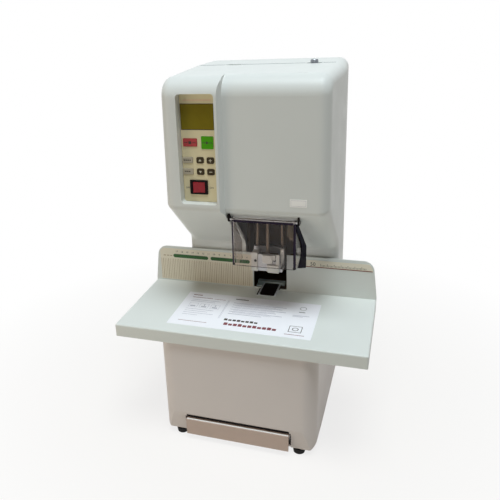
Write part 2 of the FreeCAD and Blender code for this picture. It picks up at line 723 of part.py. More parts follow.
def bearing_plates():
    """Two plates between the cheeks that guide everything that moves up and down."""
    low, high = LOWER_PLATE
    inside = (CHEEK_LEFT + CHEEK, CHEEK_RIGHT - CHEEK)
    plate = box(inside[0], inside[1], ARM_FRONT, COLUMN_FRONT + 20.0, low, high)
    holes = [post(CHUCK_RADIUS + 3.0, DRILL_X, DRILL_Y, low - 1, high + 1),
             post(RAM_RADIUS + RUNNING, RAM_X, DRILL_Y, low - 1, high + 1),
             post(SCREW_RADIUS + RUNNING, DRILL_X, GUIDE_Y, low - 1, high + 1),
             box(DRILL_X - MOTOR_RADIUS - 4, DRILL_X + MOTOR_RADIUS + 4, MOTOR_Y - MOTOR_RADIUS - 1.5,
                 MOTOR_Y + MOTOR_RADIUS + 4, low - 1, high + 1)]
    holes += [post(PRESS_ROD_RADIUS + RUNNING, x, y, low - 1, high + 1) for x, y in press_rod_places()]
    holes += [post(GUIDE_RADIUS, x, y, low + 2, high + 1) for x, y in guide_places()]
    save("lower_bearing_plate", cut_all(plate, holes))
    low, high = UPPER_PLATE
    plate = box(inside[0], inside[1], ARM_FRONT, COLUMN_FRONT + 20.0, low, high)
    holes = [post(SCREW_RADIUS + RUNNING, DRILL_X, GUIDE_Y, low - 1, high + 1),
             post(TUBE_RADIUS + 1.0, TUBE_X, SEAM_Y, low - 1, high + 1)]
    holes += [post(GUIDE_RADIUS, x, y, low - 1, high - 2) for x, y in guide_places()]
    save("upper_bearing_plate", cut_all(plate, holes))


def guide_rods():
    """Hardened rods that the drill carriage slides on."""
    rods = [post(GUIDE_RADIUS, x, y, LOWER_PLATE[0] + 2.0, UPPER_PLATE[1] - 2.0) for x, y in guide_places()]
    save("guide_rods", *rods)


def feed_drive():
    """Lead screw and the gear motor that turns it."""
    top = UPPER_PLATE[1]
    save("lead_screw", post(SCREW_RADIUS, DRILL_X, GUIDE_Y, LOWER_PLATE[0], top + 4.0))
    case = post(20.0, DRILL_X, GUIDE_Y, top + 5.0, top + 46.0)
    legs = [post(3.0, DRILL_X + side * 15.0, GUIDE_Y, top, top + 6.0) for side in (-1, 1)]
    save("feed_motor", fuse([case] + legs))


# ---------------------------------------------------------------- drill unit

CARRIAGE = (TABLE_TOP + 222.0, TABLE_TOP + 262.0)
DRILL_TIP = TABLE_TOP + CAPACITY + 6.0
CHUCK_BOTTOM = TABLE_TOP + 146.0
PULLEY = (TABLE_TOP + 270.0, TABLE_TOP + 284.0)
SPINDLE_PULLEY_RADIUS = 20.0
MOTOR_PULLEY_RADIUS = 10.0
GROOVE = 2.0
SPINDLE_RADIUS = 8.0
MOTOR_SHAFT_RADIUS = 3.0
BUSH_RADIUS = 8.0


def drill_carriage():
    """Aluminium block with a nose for the spindle and a bracket for the motor."""
    low, high = CARRIAGE
    wing = GUIDE_SPREAD + 12.0
    nose = 33.0
    plan = [(DRILL_X - nose, DRILL_Y - 22.0, 8.0), (DRILL_X + 31.0, DRILL_Y - 22.0, 8.0),
            (DRILL_X + 31.0, GUIDE_Y - 14.0, 2.0), (DRILL_X + wing, GUIDE_Y - 14.0, 6.0),
            (DRILL_X + wing, GUIDE_Y + 13.0, 6.0), (DRILL_X - wing, GUIDE_Y + 13.0, 6.0),
            (DRILL_X - wing, GUIDE_Y - 14.0, 6.0), (DRILL_X - nose, GUIDE_Y - 14.0, 2.0)]
    block = slab_z(plan, low, high)
    reach = MOTOR_RADIUS + 6.0
    shelf = box(DRILL_X - reach, DRILL_X + reach, GUIDE_Y, MOTOR_Y + reach, high - 8.0, high)
    block = fuse([block, shelf])
    bores = [post(MOTOR_RADIUS + FREE, DRILL_X, MOTOR_Y, low - 1, high - 8.0),
             post(SPINDLE_RADIUS + RUNNING, DRILL_X, DRILL_Y, low - 1, high + 1),
             post(SCREW_RADIUS + RUNNING, DRILL_X, GUIDE_Y, low - 1, high + 1),
             post(MOTOR_SHAFT_RADIUS + 2.0, DRILL_X, MOTOR_Y, low - 1, high + 1)]
    bores += [post(BUSH_RADIUS, x, y, low - 1, high + 1) for x, y in guide_places()]
    bores += [post(PRESS_ROD_RADIUS + 2.0, x, y, low - 1, high + 1) for x, y in press_rod_places()]
    save("drill_carriage", cut_all(block, bores))
    bushes = []
    for x, y in guide_places():
        bush = post(BUSH_RADIUS, x, y, low - 5.0, high + 5.0)
        bushes.append(bush.cut(post(GUIDE_RADIUS + RUNNING, x, y, low - 6.0, high + 6.0)))
    save("guide_bushes", *bushes)


def drill_motor():
    """Motor can that hangs from the carriage shelf."""
    top = CARRIAGE[1] - 8.0
    can = post(MOTOR_RADIUS, DRILL_X, MOTOR_Y, top - 52.0, top)
    can = can.makeChamfer(2.0, edges_where(can, lambda m: m.z < top - 51.9))
    bore = post(MOTOR_SHAFT_RADIUS + RUNNING, DRILL_X, MOTOR_Y, top - 40.0, top + 1.0)
    save("drill_motor", can.cut(bore))


def pulley(radius, bore, x, y):
    """Grooved belt pulley."""
    low, high = PULLEY
    middle = (low + high) / 2
    wheel = post(radius, x, y, low, high)
    groove = post(radius + 1.0, x, y, middle - 5.0, middle + 5.0).cut(
        post(radius - GROOVE, x, y, middle - 5.0, middle + 5.0))
    return wheel.cut(groove).cut(post(bore, x, y, low - 1.0, high + 1.0))


def spindle():
    """Hollow spindle with its chuck, the hollow bit and the pulley."""
    chuck = cone(CHUCK_RADIUS - 5.0, CHUCK_RADIUS, DRILL_X, DRILL_Y, CHUCK_BOTTOM, CHUCK_BOTTOM + 10.0)
    body = post(CHUCK_RADIUS, DRILL_X, DRILL_Y, CHUCK_BOTTOM + 10.0, CHUCK_BOTTOM + 34.0)
    shaft = post(SPINDLE_RADIUS, DRILL_X, DRILL_Y, CHUCK_BOTTOM + 34.0, PULLEY[1] + 4.0)
    seat = post(DRILL_RADIUS, DRILL_X, DRILL_Y, CHUCK_BOTTOM - 1.0, CHUCK_BOTTOM + 30.0)
    channel = post(DRILL_BORE_RADIUS, DRILL_X, DRILL_Y, CHUCK_BOTTOM, PULLEY[1] + 5.0)
    save("spindle", cut_all(fuse([chuck, body, shaft]), [seat, channel]))
    bit = post(DRILL_RADIUS, DRILL_X, DRILL_Y, DRILL_TIP + 2.0, CHUCK_BOTTOM + 30.0)
    edge = cone(DRILL_BORE_RADIUS + 0.2, DRILL_RADIUS, DRILL_X, DRILL_Y, DRILL_TIP, DRILL_TIP + 2.0)
    hollow = post(DRILL_BORE_RADIUS, DRILL_X, DRILL_Y, DRILL_TIP - 1.0, CHUCK_BOTTOM + 31.0)
    save("drill_bit", fuse([bit, edge]).cut(hollow))
    save("spindle_pulley", pulley(SPINDLE_PULLEY_RADIUS, SPINDLE_RADIUS, DRILL_X, DRILL_Y))


def motor_drive():
    """Motor shaft with its pulley, and the flat belt to the spindle."""
    low, high = PULLEY
    shaft = post(MOTOR_SHAFT_RADIUS, DRILL_X, MOTOR_Y, CARRIAGE[1] - 40.0, high + 2.0)
    save("motor_pulley", fuse([pulley(MOTOR_PULLEY_RADIUS, MOTOR_SHAFT_RADIUS, DRILL_X, MOTOR_Y), shaft]))
    save("drive_belt", belt_loop(0.3 + 1.5).cut(belt_loop(0.3)))


def belt_loop(grow):
    """Solid loop round both pulley grooves, grown from them."""
    big = SPINDLE_PULLEY_RADIUS - GROOVE + grow
    small = MOTOR_PULLEY_RADIUS - GROOVE + grow
    run = MOTOR_Y - DRILL_Y
    lean = math.asin((big - small) / run)
    middle = (PULLEY[0] + PULLEY[1]) / 2
    z0 = middle - 4.0
    z1 = middle + 4.0
    tangents = ((-1, big, DRILL_Y), (1, big, DRILL_Y), (1, small, MOTOR_Y), (-1, small, MOTOR_Y))
    corners = []
    for side, radius, y in tangents:
        corners.append((DRILL_X + side * radius * math.cos(lean), y + radius * math.sin(lean)))
    runs = slab_z(corners, z0, z1)
    return fuse([runs, post(big, DRILL_X, DRILL_Y, z0, z1), post(small, DRILL_X, MOTOR_Y, z0, z1)])


# ---------------------------------------------------------------- presser and rivet head

PRESS_BOTTOM = TABLE_TOP + 46.0
PRESS_LEFT = DRILL_X - 26.0
PRESS_RIGHT = DRILL_X + 26.0
PRESS_TOP = PRESS_BOTTOM + 36.0
PLATE_TOP = PRESS_TOP - 6.0
PLATE_FRONT = DRILL_Y - 11.0       # upright plate that carries the blocks
PLATE_BACK = PLATE_FRONT + 4.0
CHEEK_TOP = PRESS_BOTTOM + 16.0


def press_foot():
    """Steel presser: a sole with a hole for the drill, a front plate and a crosshead on two rods."""
    low = PRESS_BOTTOM
    behind = PRESS_ROD_Y + 6.0
    flank = PRESS_RIGHT - 3.0
    sole = box(PRESS_LEFT, PRESS_RIGHT, PLATE_FRONT, behind, low, low + 6.0)
    beam = box(PRESS_LEFT, PRESS_RIGHT, PRESS_ROD_Y - 4.0, behind, PRESS_TOP - 12.0, PRESS_TOP)
    posts = [box(x, x + 10.0, PRESS_ROD_Y - 7.0, behind, low, PRESS_TOP)
             for x in (PRESS_LEFT, PRESS_RIGHT - 10.0)]
    plate = box(PRESS_LEFT + 1.0, PRESS_RIGHT - 4.0, PLATE_FRONT, PLATE_BACK, low, PLATE_TOP)
    column = box(PRESS_LEFT + 10.0, PRESS_LEFT + 17.0, PLATE_FRONT, DRILL_Y - 2.0, low, PLATE_TOP - 4.0)
    cheek = box(flank - 4.0, flank, PLATE_FRONT + 1.0, PRESS_ROD_Y, low, CHEEK_TOP)
    foot = fuse([sole, beam, plate, column, cheek] + posts)
    hole = post(DRILL_RADIUS + FREE, DRILL_X, DRILL_Y, low - 1.0, low + 7.0)
    seat = PRESS_TOP - 10.0
    seats = [post(PRESS_ROD_RADIUS, x, y, seat, PRESS_TOP + 1.0) for x, y in press_rod_places()]
    save("press_foot", cut_all(foot, [hole] + seats))
    rods = [post(PRESS_ROD_RADIUS, x, y, seat, TABLE_TOP + 205.0) for x, y in press_rod_places()]
    save("press_rods", *rods)


def press_blocks():
    """Pale blocks on the presser: a flanged upright, a jaw with its upright, a stop and a side bracket."""
    left = PRESS_LEFT + 1.0
    right = PRESS_RIGHT - 4.5
    low = PRESS_BOTTOM
    face = PLATE_FRONT
    flange = PLATE_TOP + 3.0
    upright = fuse([box(left, left + 10.0, face - 3.0, face, low, flange),
                    box(left, left + 10.0, face - 3.0, face + 12.0, PLATE_TOP, flange)])
    step = DRILL_X + 1.5
    nose = slab_y([(step, low + 2.5), (step + 2.5, low), (right, low), (right, low + 13.0),
                   (step, low + 13.0)], face - 6.0, face)
    jaw = fuse([nose, box(right - 5.0, right, face - 3.0, face, low, PLATE_TOP + 1.5)])
    stop = fuse([box(DRILL_X - 5.5, DRILL_X + 10.5, face - 7.0, face, low + 17.0, low + 31.0),
                 box(DRILL_X + 10.5, DRILL_X + 15.5, face - 5.0, face, low + 22.5, low + 31.0)])
    edge = PRESS_RIGHT - 3.0
    bracket = [(edge, low + 6.0), (edge + 4.6, low + 22.0), (edge + 4.6, low + 39.0),
               (edge - 1.0, low + 37.0), (edge - 1.0, CHEEK_TOP), (edge, CHEEK_TOP)]
    side = slab_y(bracket, DRILL_Y - 3.5, DRILL_Y)
    save("press_blocks", upright, jaw, stop, side)


def rivet_head():
    """Ram with its heated die, beside the drill."""
    low = TABLE_TOP + 100.0
    point = cone(4.0, RAM_RADIUS, RAM_X, DRILL_Y, low, low + 4.0)
    shaft = post(RAM_RADIUS, RAM_X, DRILL_Y, low + 4.0, TABLE_TOP + 270.0)
    save("rivet_ram", fuse([point, shaft]))
    sleeve = post(9.0, RAM_X, DRILL_Y, low + 8.0, low + 40.0).cut(
        post(RAM_RADIUS, RAM_X, DRILL_Y, low, low + 50.0))
    save("heater_sleeve", sleeve)


PAD_TOP = TABLE_TOP + 2.5
PAD_UNDER = TABLE_TOP + 0.5
PAD_HALF = 12.5
PAD_FRONT = FENCE - 24.0
PAD_BACK = FENCE + 26.0
ARM_TOP = TABLE_TOP
ARM_DEPTH = 16.0


def lower_arm():
    """Lower arm of the frame with the heated anvil that comes up through the table."""
    low = ARM_TOP - ARM_DEPTH
    under = box(DRILL_X - 19.0, DRILL_X + 19.0, FENCE - 24.0, FENCE + 10.0, low, TABLE_UNDER)
    behind = box(DRILL_X - 26.0, DRILL_X + 26.0, FENCE + SHEET + FREE, COLUMN_BACK - CHEEK, low, ARM_TOP)
    gap = box(DRILL_X - 30.0, DRILL_X + 30.0, FENCE, FENCE + SHEET + FREE, TABLE_UNDER, TABLE_TOP + 1.0)
    arm = cut_all(fuse([under, behind]), [gap, post(ANVIL_RADIUS, DRILL_X, DRILL_Y, low - 1.0, ARM_TOP)])
    save("lower_arm", arm)
    save("lower_anvil", post(ANVIL_RADIUS, DRILL_X, DRILL_Y, low - 12.0, TABLE_TOP - 0.2))


def pad_guides():
    """Chrome rails on both sides of the pad slide, and the ledge and bridge that hold it."""
    rails = [box(x, x + 2.2, PAD_FRONT - 1.0, PAD_BACK - 2.0, TABLE_TOP, PAD_TOP + 0.3)
             for x in (DRILL_X - PAD_HALF - 2.7, DRILL_X + PAD_HALF + 0.5)]
    save("pad_rails", *rails)
    ledge = box(DRILL_X - 26.0, DRILL_X - 16.0, FENCE + 8.5, FENCE + 31.0, ARM_TOP, PAD_TOP + 0.5)
    y0 = FENCE + 18.5
    y1 = FENCE + 28.0
    high = PAD_TOP + 3.5
    bridge = box(DRILL_X - 26.0, DRILL_X + 22.0, y0, y1, PAD_TOP + 0.7, high)
    legs = [box(x, x + 6.0, y0, y1, ARM_TOP, high) for x in (DRILL_X - 26.0, DRILL_X + 16.0)]
    save("pad_bridge", fuse([bridge, ledge] + legs))


def pad_slide():
    """Black tongue between the rails, with the drilling pad let into it."""
    plan = [(DRILL_X - PAD_HALF, PAD_FRONT, 3.0), (DRILL_X + PAD_HALF, PAD_FRONT, 3.0),
            (DRILL_X + PAD_HALF, PAD_BACK), (DRILL_X - PAD_HALF, PAD_BACK)]
    tongue = slab_z(plan, PAD_UNDER, PAD_TOP)
    save("pad_slide", tongue.cut(post(8.0, DRILL_X, DRILL_Y, PAD_UNDER + 0.6, PAD_TOP + 1.0)))
    save("drill_pad", post(8.0, DRILL_X, DRILL_Y, PAD_UNDER + 0.6, PAD_TOP - 0.1))


# ---------------------------------------------------------------- guard

GUARD_LEFT = DRILL_X + 9.0 - GUARD_WIDTH / 2
GUARD_RIGHT = GUARD_LEFT + GUARD_WIDTH
GUARD_SHEET = 2.5
GUARD_FRONT = FENCE - 88.0
GUARD_BACK = FENCE - 18.0
GUARD_TOP = TABLE_TOP + 159.0
GUARD_LOW = TABLE_TOP + 80.0
GUARD_REAR_TOP = TABLE_TOP + 94.0
GUARD_REAR_LOW = TABLE_TOP + CAPACITY + 5.0
GUARD_FLARE = 5.0
PIVOT_Y = GUARD_FRONT + 3.5
PIVOT_Z = GUARD_TOP - 3.5
PIN_RADIUS = 2.0


def guard_corners():
    """Side outline of the guard: its top follows the chin, its foot clears a full stack."""
    return [(GUARD_FRONT, GUARD_LOW), (GUARD_FRONT, GUARD_TOP, 1.0), (GUARD_FRONT + 5.0, GUARD_TOP, 2.0),
            (GUARD_BACK, GUARD_REAR_TOP, 3.0), (GUARD_BACK, GUARD_REAR_LOW, 3.0),
            (GUARD_FRONT + 8.0, GUARD_LOW)]


def guard_plan(inset):
    """Plan of the folded sheet: a front and two wings that flare to the back."""
    left = GUARD_LEFT + inset
    right = GUARD_RIGHT - inset
    front = GUARD_FRONT + inset
    bend = 4.0 - 0.9 * inset
    back = GUARD_BACK + 10.0
    return [(left, front, bend), (right, front, bend), (right + GUARD_FLARE, back),
            (left - GUARD_FLARE, back)]


def hinge_eye():
    """Bore for the guard's pins."""
    return rod(PIN_RADIUS + RUNNING, (GUARD_LEFT - 20.0, PIVOT_Y, PIVOT_Z),
               (GUARD_RIGHT + 20.0, PIVOT_Y, PIVOT_Z))


def safety_guard():
    """Clear folded sheet round the drill, hinged under the chin."""
    low = GUARD_REAR_LOW - 5.0
    high = GUARD_TOP + 5.0
    fold = slab_z(guard_plan(0.0), low, high).cut(slab_z(guard_plan(GUARD_SHEET), low - 1.0, high + 1.0))
    guard = fold.common(slab_x(guard_corners(), GUARD_LEFT - 20.0, GUARD_RIGHT + 20.0))
    save("safety_guard", guard.cut(hinge_eye()))


def guard_arm():
    """Black arm on the right wing that works the interlock when the guard is shut."""
    plate = slab_z(guard_plan(-1.2), GUARD_REAR_LOW, GUARD_TOP).cut(
        slab_z(guard_plan(0.0), GUARD_REAR_LOW - 1.0, GUARD_TOP + 1.0))
    beside = box(GUARD_RIGHT + 0.2, GUARD_RIGHT + 20.0, GUARD_FRONT, GUARD_BACK, 0.0, BODY_HEIGHT)
    plate = plate.common(beside)
    corners = [(GUARD_FRONT + 3.0, GUARD_TOP - 1.0), (GUARD_BACK, GUARD_REAR_TOP, 3.0),
               (GUARD_BACK, GUARD_REAR_LOW, 3.0), (GUARD_BACK - 54.0, GUARD_REAR_LOW + 22.0, 1.0),
               (GUARD_BACK - 36.0, GUARD_REAR_TOP - 5.0, 6.0),
               (GUARD_BACK - 32.0, GUARD_REAR_TOP + 14.0, 14.0), (GUARD_FRONT + 4.0, GUARD_TOP - 17.0, 2.0)]
    plate = plate.common(slab_x(corners, GUARD_RIGHT - 5.0, GUARD_RIGHT + 20.0))
    save("guard_arm", plate.cut(hinge_eye()))


def guard_hinges():
    """Hooked ears under the chin and the pins that the guard turns on."""
    ears = []
    pins = []
    for side, edge in ((-1, GUARD_LEFT), (1, GUARD_RIGHT)):
        near = edge + side * 2.2
        far = edge + side * 5.2
        x0 = min(near, far)
        x1 = max(near, far)
        corners = [(PIVOT_Y - 3.5, PIVOT_Z - 4.0, 3.0), (PIVOT_Y + 4.0, PIVOT_Z - 4.0, 3.0),
                   (PIVOT_Y + 12.0, chin_z(PIVOT_Y + 12.0)), (PIVOT_Y - 2.0, chin_z(PIVOT_Y - 2.0))]
        ear = slab_x(corners, x0, x1)
        pin_end = edge - side * 5.0
        pin = rod(PIN_RADIUS, (far, PIVOT_Y, PIVOT_Z), (pin_end, PIVOT_Y, PIVOT_Z))
        ears.append(ear.cut(pin))
        pins.append(pin)
    save("hinge_ears", *ears)
    save("hinge_pins", *pins)


# ---------------------------------------------------------------- inside and small pieces

def electrics():
    """Control board behind the panel and the transformer in the base."""
    y = PANEL_FLOOR + WALL + 6.0
    board = box(PANEL_LEFT + 2.0, PANEL_RIGHT, y, y + 1.6, PANEL_LOW + 5.0, PANEL_HIGH - 5.0)
    save("control_board", board)
    core = box(-78.0, -18.0, FENCE - 6.0, FENCE + 44.0, CHASSIS_TOP, CHASSIS_TOP + 52.0)
    windings = rectangle(FENCE - 14.0, FENCE + 52.0, CHASSIS_TOP + 8.0, CHASSIS_TOP + 44.0, 8.0)
    coil = slab_x(windings, -66.0, -30.0)
    save("transformer", fuse([core, coil]))


def mains_inlet():
    """Three-pin inlet in the back of the base."""
    half_width_x = 13.9
    half_height = 9.9
    body = box(INLET_X - half_width_x, INLET_X + half_width_x, BACK - 16.0, BACK - 0.5,
               INLET_Z - half_height, INLET_Z + half_height)
    side = 11.5
    shoulder = 8.0
    top = 7.5
    corners = [(-side, -top, 2.0), (side, -top, 2.0), (side, top - 3.5, 1.0), (shoulder, top, 1.0),
               (-shoulder, top, 1.0), (-side, top - 3.5, 1.0)]
    socket = slab_y([(INLET_X + a, INLET_Z + b, radius) for a, b, radius in corners], BACK - 12.0, BACK)
    pins = []
    for dx, dz in ((-7.0, -2.0), (7.0, -2.0), (0.0, 2.5)):
        x = INLET_X + dx
        z = INLET_Z + dz
        pins.append(box(x - 1.0, x + 1.0, BACK - 13.0, BACK - 3.0, z - 2.0, z + 2.0))
    save("mains_inlet", fuse([body.cut(socket)] + pins))


def tube_feed():
    """Knurled inlet for the rivet tube on the top, and the guide pipe under it."""
    seat = top_z(SEAM_Y) - RECESS_DEPTH
    collar = post(5.5, TUBE_X, SEAM_Y, seat, seat + 8.0)
    collar = collar.makeChamfer(0.8, edges_where(collar, lambda m: m.z > seat + 7.9))
    save("tube_inlet", collar.cut(post(TUBE_RADIUS - 0.6, TUBE_X, SEAM_Y, seat - 1.0, seat + 9.0)))
    pipe = post(TUBE_RADIUS, TUBE_X, SEAM_Y, LOWER_PLATE[1], seat)
    save("tube_guide", pipe.cut(post(TUBE_RADIUS - 0.6, TUBE_X, SEAM_Y, LOWER_PLATE[1] - 1.0, seat + 1.0)))


def main():
    os.makedirs("parts", exist_ok=True)
    base_housing()
    base_plate()
    feet()
    chip_drawer()
    drawer_runners()
    worktable()
    table_prints()
    table_beams()
    head_housings()
    panel_tray()
    control_panel()
    keys()
    power_switch()
    column_frame()
    bearing_plates()
    guide_rods()
    feed_drive()
    drill_carriage()
    drill_motor()
    spindle()
    motor_drive()
    press_foot()
    press_blocks()
    rivet_head()
    lower_arm()
    pad_guides()
    pad_slide()
    safety_guard()
    guard_arm()
    guard_hinges()
    electrics()
    mains_inlet()
    tube_feed()


main()
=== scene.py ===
"""Looks of a document riveting machine: finishes of every part, prints, small fittings and light."""

import json
import math

import bpy
import bmesh
from mathutils import Matrix, Vector


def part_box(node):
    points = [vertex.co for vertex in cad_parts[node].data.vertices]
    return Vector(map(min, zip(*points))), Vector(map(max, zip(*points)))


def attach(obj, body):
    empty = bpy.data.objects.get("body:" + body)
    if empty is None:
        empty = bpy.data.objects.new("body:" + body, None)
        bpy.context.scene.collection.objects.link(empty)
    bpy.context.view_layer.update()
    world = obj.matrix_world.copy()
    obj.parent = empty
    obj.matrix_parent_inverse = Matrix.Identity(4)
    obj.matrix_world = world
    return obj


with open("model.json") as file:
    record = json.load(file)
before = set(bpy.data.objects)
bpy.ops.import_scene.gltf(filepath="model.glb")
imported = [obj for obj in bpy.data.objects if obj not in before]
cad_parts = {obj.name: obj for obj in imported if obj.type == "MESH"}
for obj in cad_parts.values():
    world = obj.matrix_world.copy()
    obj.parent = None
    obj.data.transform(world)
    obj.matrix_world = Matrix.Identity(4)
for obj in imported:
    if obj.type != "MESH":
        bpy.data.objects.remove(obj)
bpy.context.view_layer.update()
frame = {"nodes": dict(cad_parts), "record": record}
SLOTS = {part["node"]: part["material_slot"] for part in frame["record"]["subparts"]}
MM = 0.001
INK = 0.08                           # thickness of a print, in millimetres like every size below


# ---------------------------------------------------------------- places read from the frame

def millimetres(node):
    """Lowest and highest corner of a node, in millimetres."""
    low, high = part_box(node)
    return low / MM, high / MM


def centre(node):
    """Middle of a node across and up, and where its front face lies, in millimetres."""
    low, high = millimetres(node)
    return (low.x + high.x) / 2, (low.z + high.z) / 2, low.y


SCALE_LOW, SCALE_HIGH = millimetres("fence_scale")
LIMIT_LOW, LIMIT_HIGH = millimetres("limit_strip")
SHEET_LOW, SHEET_HIGH = millimetres("instruction_plate")
SHEET_LEFT = SHEET_LOW.x
SHEET_REAR = SHEET_HIGH.y
COVER_LOW, COVER_HIGH = millimetres("front_housing")
COVER_FACE = COVER_LOW.y + 12.0      # the main cover stands back from the pillar
PANEL_FACE = millimetres("control_panel")[0].y
LCD_LOW, LCD_HIGH = millimetres("lcd_window")
GUARD_LOW, GUARD_HIGH = millimetres("safety_guard")
PRESS_LOW, PRESS_HIGH = millimetres("press_foot")
INLET_LOW, INLET_HIGH = millimetres("tube_inlet")
INLET_X = (INLET_LOW.x + INLET_HIGH.x) / 2
INLET_Y = (INLET_LOW.y + INLET_HIGH.y) / 2
DRILL_X = centre("drill_bit")[0]


# ---------------------------------------------------------------- materials

NO_STRETCH = (1.0, 1.0, 1.0)
GLOSS_SPREAD = 0.15                  # share by which the roughness varies over a surface
GLOSS_CLOUDS = 4                     # times finer than the clouds of colour


def srgb(red, green, blue):
    """Linear colour of a display colour given in 0 to 255."""
    def linear(value):
        value = value / 255
        return value / 12.92 if value <= 0.04045 else ((value + 0.055) / 1.055) ** 2.4
    return (linear(red), linear(green), linear(blue), 1.0)


def start_material(name):
    """New material with its node tree and its Principled node."""
    material = bpy.data.materials.new(name)
    material.use_nodes = True
    return material, material.node_tree, material.node_tree.nodes["Principled BSDF"]


def object_space(tree, stretch=NO_STRETCH):
    """Object coordinates, in which stretch makes features longer along an axis."""
    coordinates = tree.nodes.new("ShaderNodeTexCoord")
    mapping = tree.nodes.new("ShaderNodeMapping")
    for axis in range(3):
        mapping.inputs["Scale"].default_value[axis] = 1.0 / stretch[axis]
    tree.links.new(coordinates.outputs["Object"], mapping.inputs["Vector"])
    return mapping.outputs["Vector"]


def noise(tree, size_mm, detail, stretch=NO_STRETCH):
    """Noise whose features measure about size_mm."""
    texture = tree.nodes.new("ShaderNodeTexNoise")
    texture.inputs["Scale"].default_value = 1.0 / (size_mm * MM)
    texture.inputs["Detail"].default_value = detail
    tree.links.new(object_space(tree, stretch), texture.inputs["Vector"])
    return texture.outputs["Fac"]


def remap(tree, value, low, high, start=0.3, end=0.7):
    """A value between start and end turned into a number between low and high."""
    node = tree.nodes.new("ShaderNodeMapRange")
    node.inputs["From Min"].default_value = start
    node.inputs["From Max"].default_value = end
    node.inputs["To Min"].default_value = low
    node.inputs["To Max"].default_value = high
    tree.links.new(value, node.inputs["Value"])
    return node.outputs["Result"]


def blend_colours(tree, factor, first, second):
    """Colour between two by a factor; either one may come from another node."""
    node = tree.nodes.new("ShaderNodeMix")
    node.data_type = "RGBA"
    tree.links.new(factor, node.inputs[0])
    for socket, colour in ((node.inputs[6], first), (node.inputs[7], second)):
        if isinstance(colour, tuple):
            socket.default_value = colour
        else:
            tree.links.new(colour, socket)
    return node.outputs[2]


def shade(colour, amount):
    """The colour made lighter or darker by a share."""
    return tuple(min(1.0, c * (1 + amount)) for c in colour[:3]) + (1.0,)


def add_bump(tree, bsdf, height, depth_mm):
    """Bump from a height value."""
    bump = tree.nodes.new("ShaderNodeBump")
    bump.inputs["Distance"].default_value = depth_mm * MM
    tree.links.new(height, bump.inputs["Height"])
    tree.links.new(bump.outputs["Normal"], bsdf.inputs["Normal"])


def finish(name, colour, roughness, mottle=0.03, mottle_mm=60.0, grain_mm=0.8, grain_depth=0.01,
           metallic=0.0, specular=0.5, stretch=NO_STRETCH):
    """Surface with faint colour clouds, uneven gloss and a fine grain."""
    material, tree, bsdf = start_material(name)
    clouds = remap(tree, noise(tree, mottle_mm, 4.0, stretch), 0.0, 1.0)
    base = blend_colours(tree, clouds, shade(colour, -mottle), shade(colour, mottle))
    tree.links.new(base, bsdf.inputs["Base Color"])
    gloss = remap(tree, noise(tree, mottle_mm / GLOSS_CLOUDS, 3.0, stretch),
                  roughness * (1 - GLOSS_SPREAD), roughness * (1 + GLOSS_SPREAD))
    tree.links.new(gloss, bsdf.inputs["Roughness"])
    bsdf.inputs["Metallic"].default_value = metallic
    bsdf.inputs["Specular IOR Level"].default_value = specular
    add_bump(tree, bsdf, noise(tree, grain_mm, 2.0, stretch), grain_depth)
    return material


def clear_acrylic():
    """Faintly tinted clear sheet with a few rub marks."""
    material, tree, bsdf = start_material("clear_acrylic")
    bsdf.inputs["Base Color"].default_value = srgb(236, 230, 228)
    bsdf.inputs["Transmission Weight"].default_value = 1.0
    bsdf.inputs["IOR"].default_value = 1.25
    bsdf.inputs["Specular IOR Level"].default_value = 0.3
    haze = remap(tree, noise(tree, 18.0, 4.0), 0.0, 0.05, 0.5, 0.8)
    tree.links.new(haze, bsdf.inputs["Roughness"])
    return material


def display_glass():
    """Unlit olive display with its faint grid of dots."""
    dot = 0.6
    gap = 0.05
    material, tree, bsdf = start_material("display_glass")
    fade = remap(tree, noise(tree, 30.0, 2.0), 0.0, 1.0)
    olive = blend_colours(tree, fade, srgb(124, 110, 22), srgb(134, 120, 30))
    grid = tree.nodes.new("ShaderNodeTexBrick")
    grid.offset = 0.0
    grid.inputs["Scale"].default_value = 1.0 / MM
    grid.inputs["Brick Width"].default_value = dot
    grid.inputs["Row Height"].default_value = dot
    grid.inputs["Mortar Size"].default_value = gap
    turn = tree.nodes.new("ShaderNodeMapping")
    turn.inputs["Rotation"].default_value[0] = math.radians(-90)
    tree.links.new(object_space(tree), turn.inputs["Vector"])
    tree.links.new(turn.outputs["Vector"], grid.inputs["Vector"])
    lines = remap(tree, grid.outputs["Fac"], 0.0, 0.35, 0.0, 1.0)
    tree.links.new(blend_colours(tree, lines, olive, srgb(104, 92, 16)), bsdf.inputs["Base Color"])
    bsdf.inputs["Roughness"].default_value = 0.3
    bsdf.inputs["Specular IOR Level"].default_value = 0.08
    return material


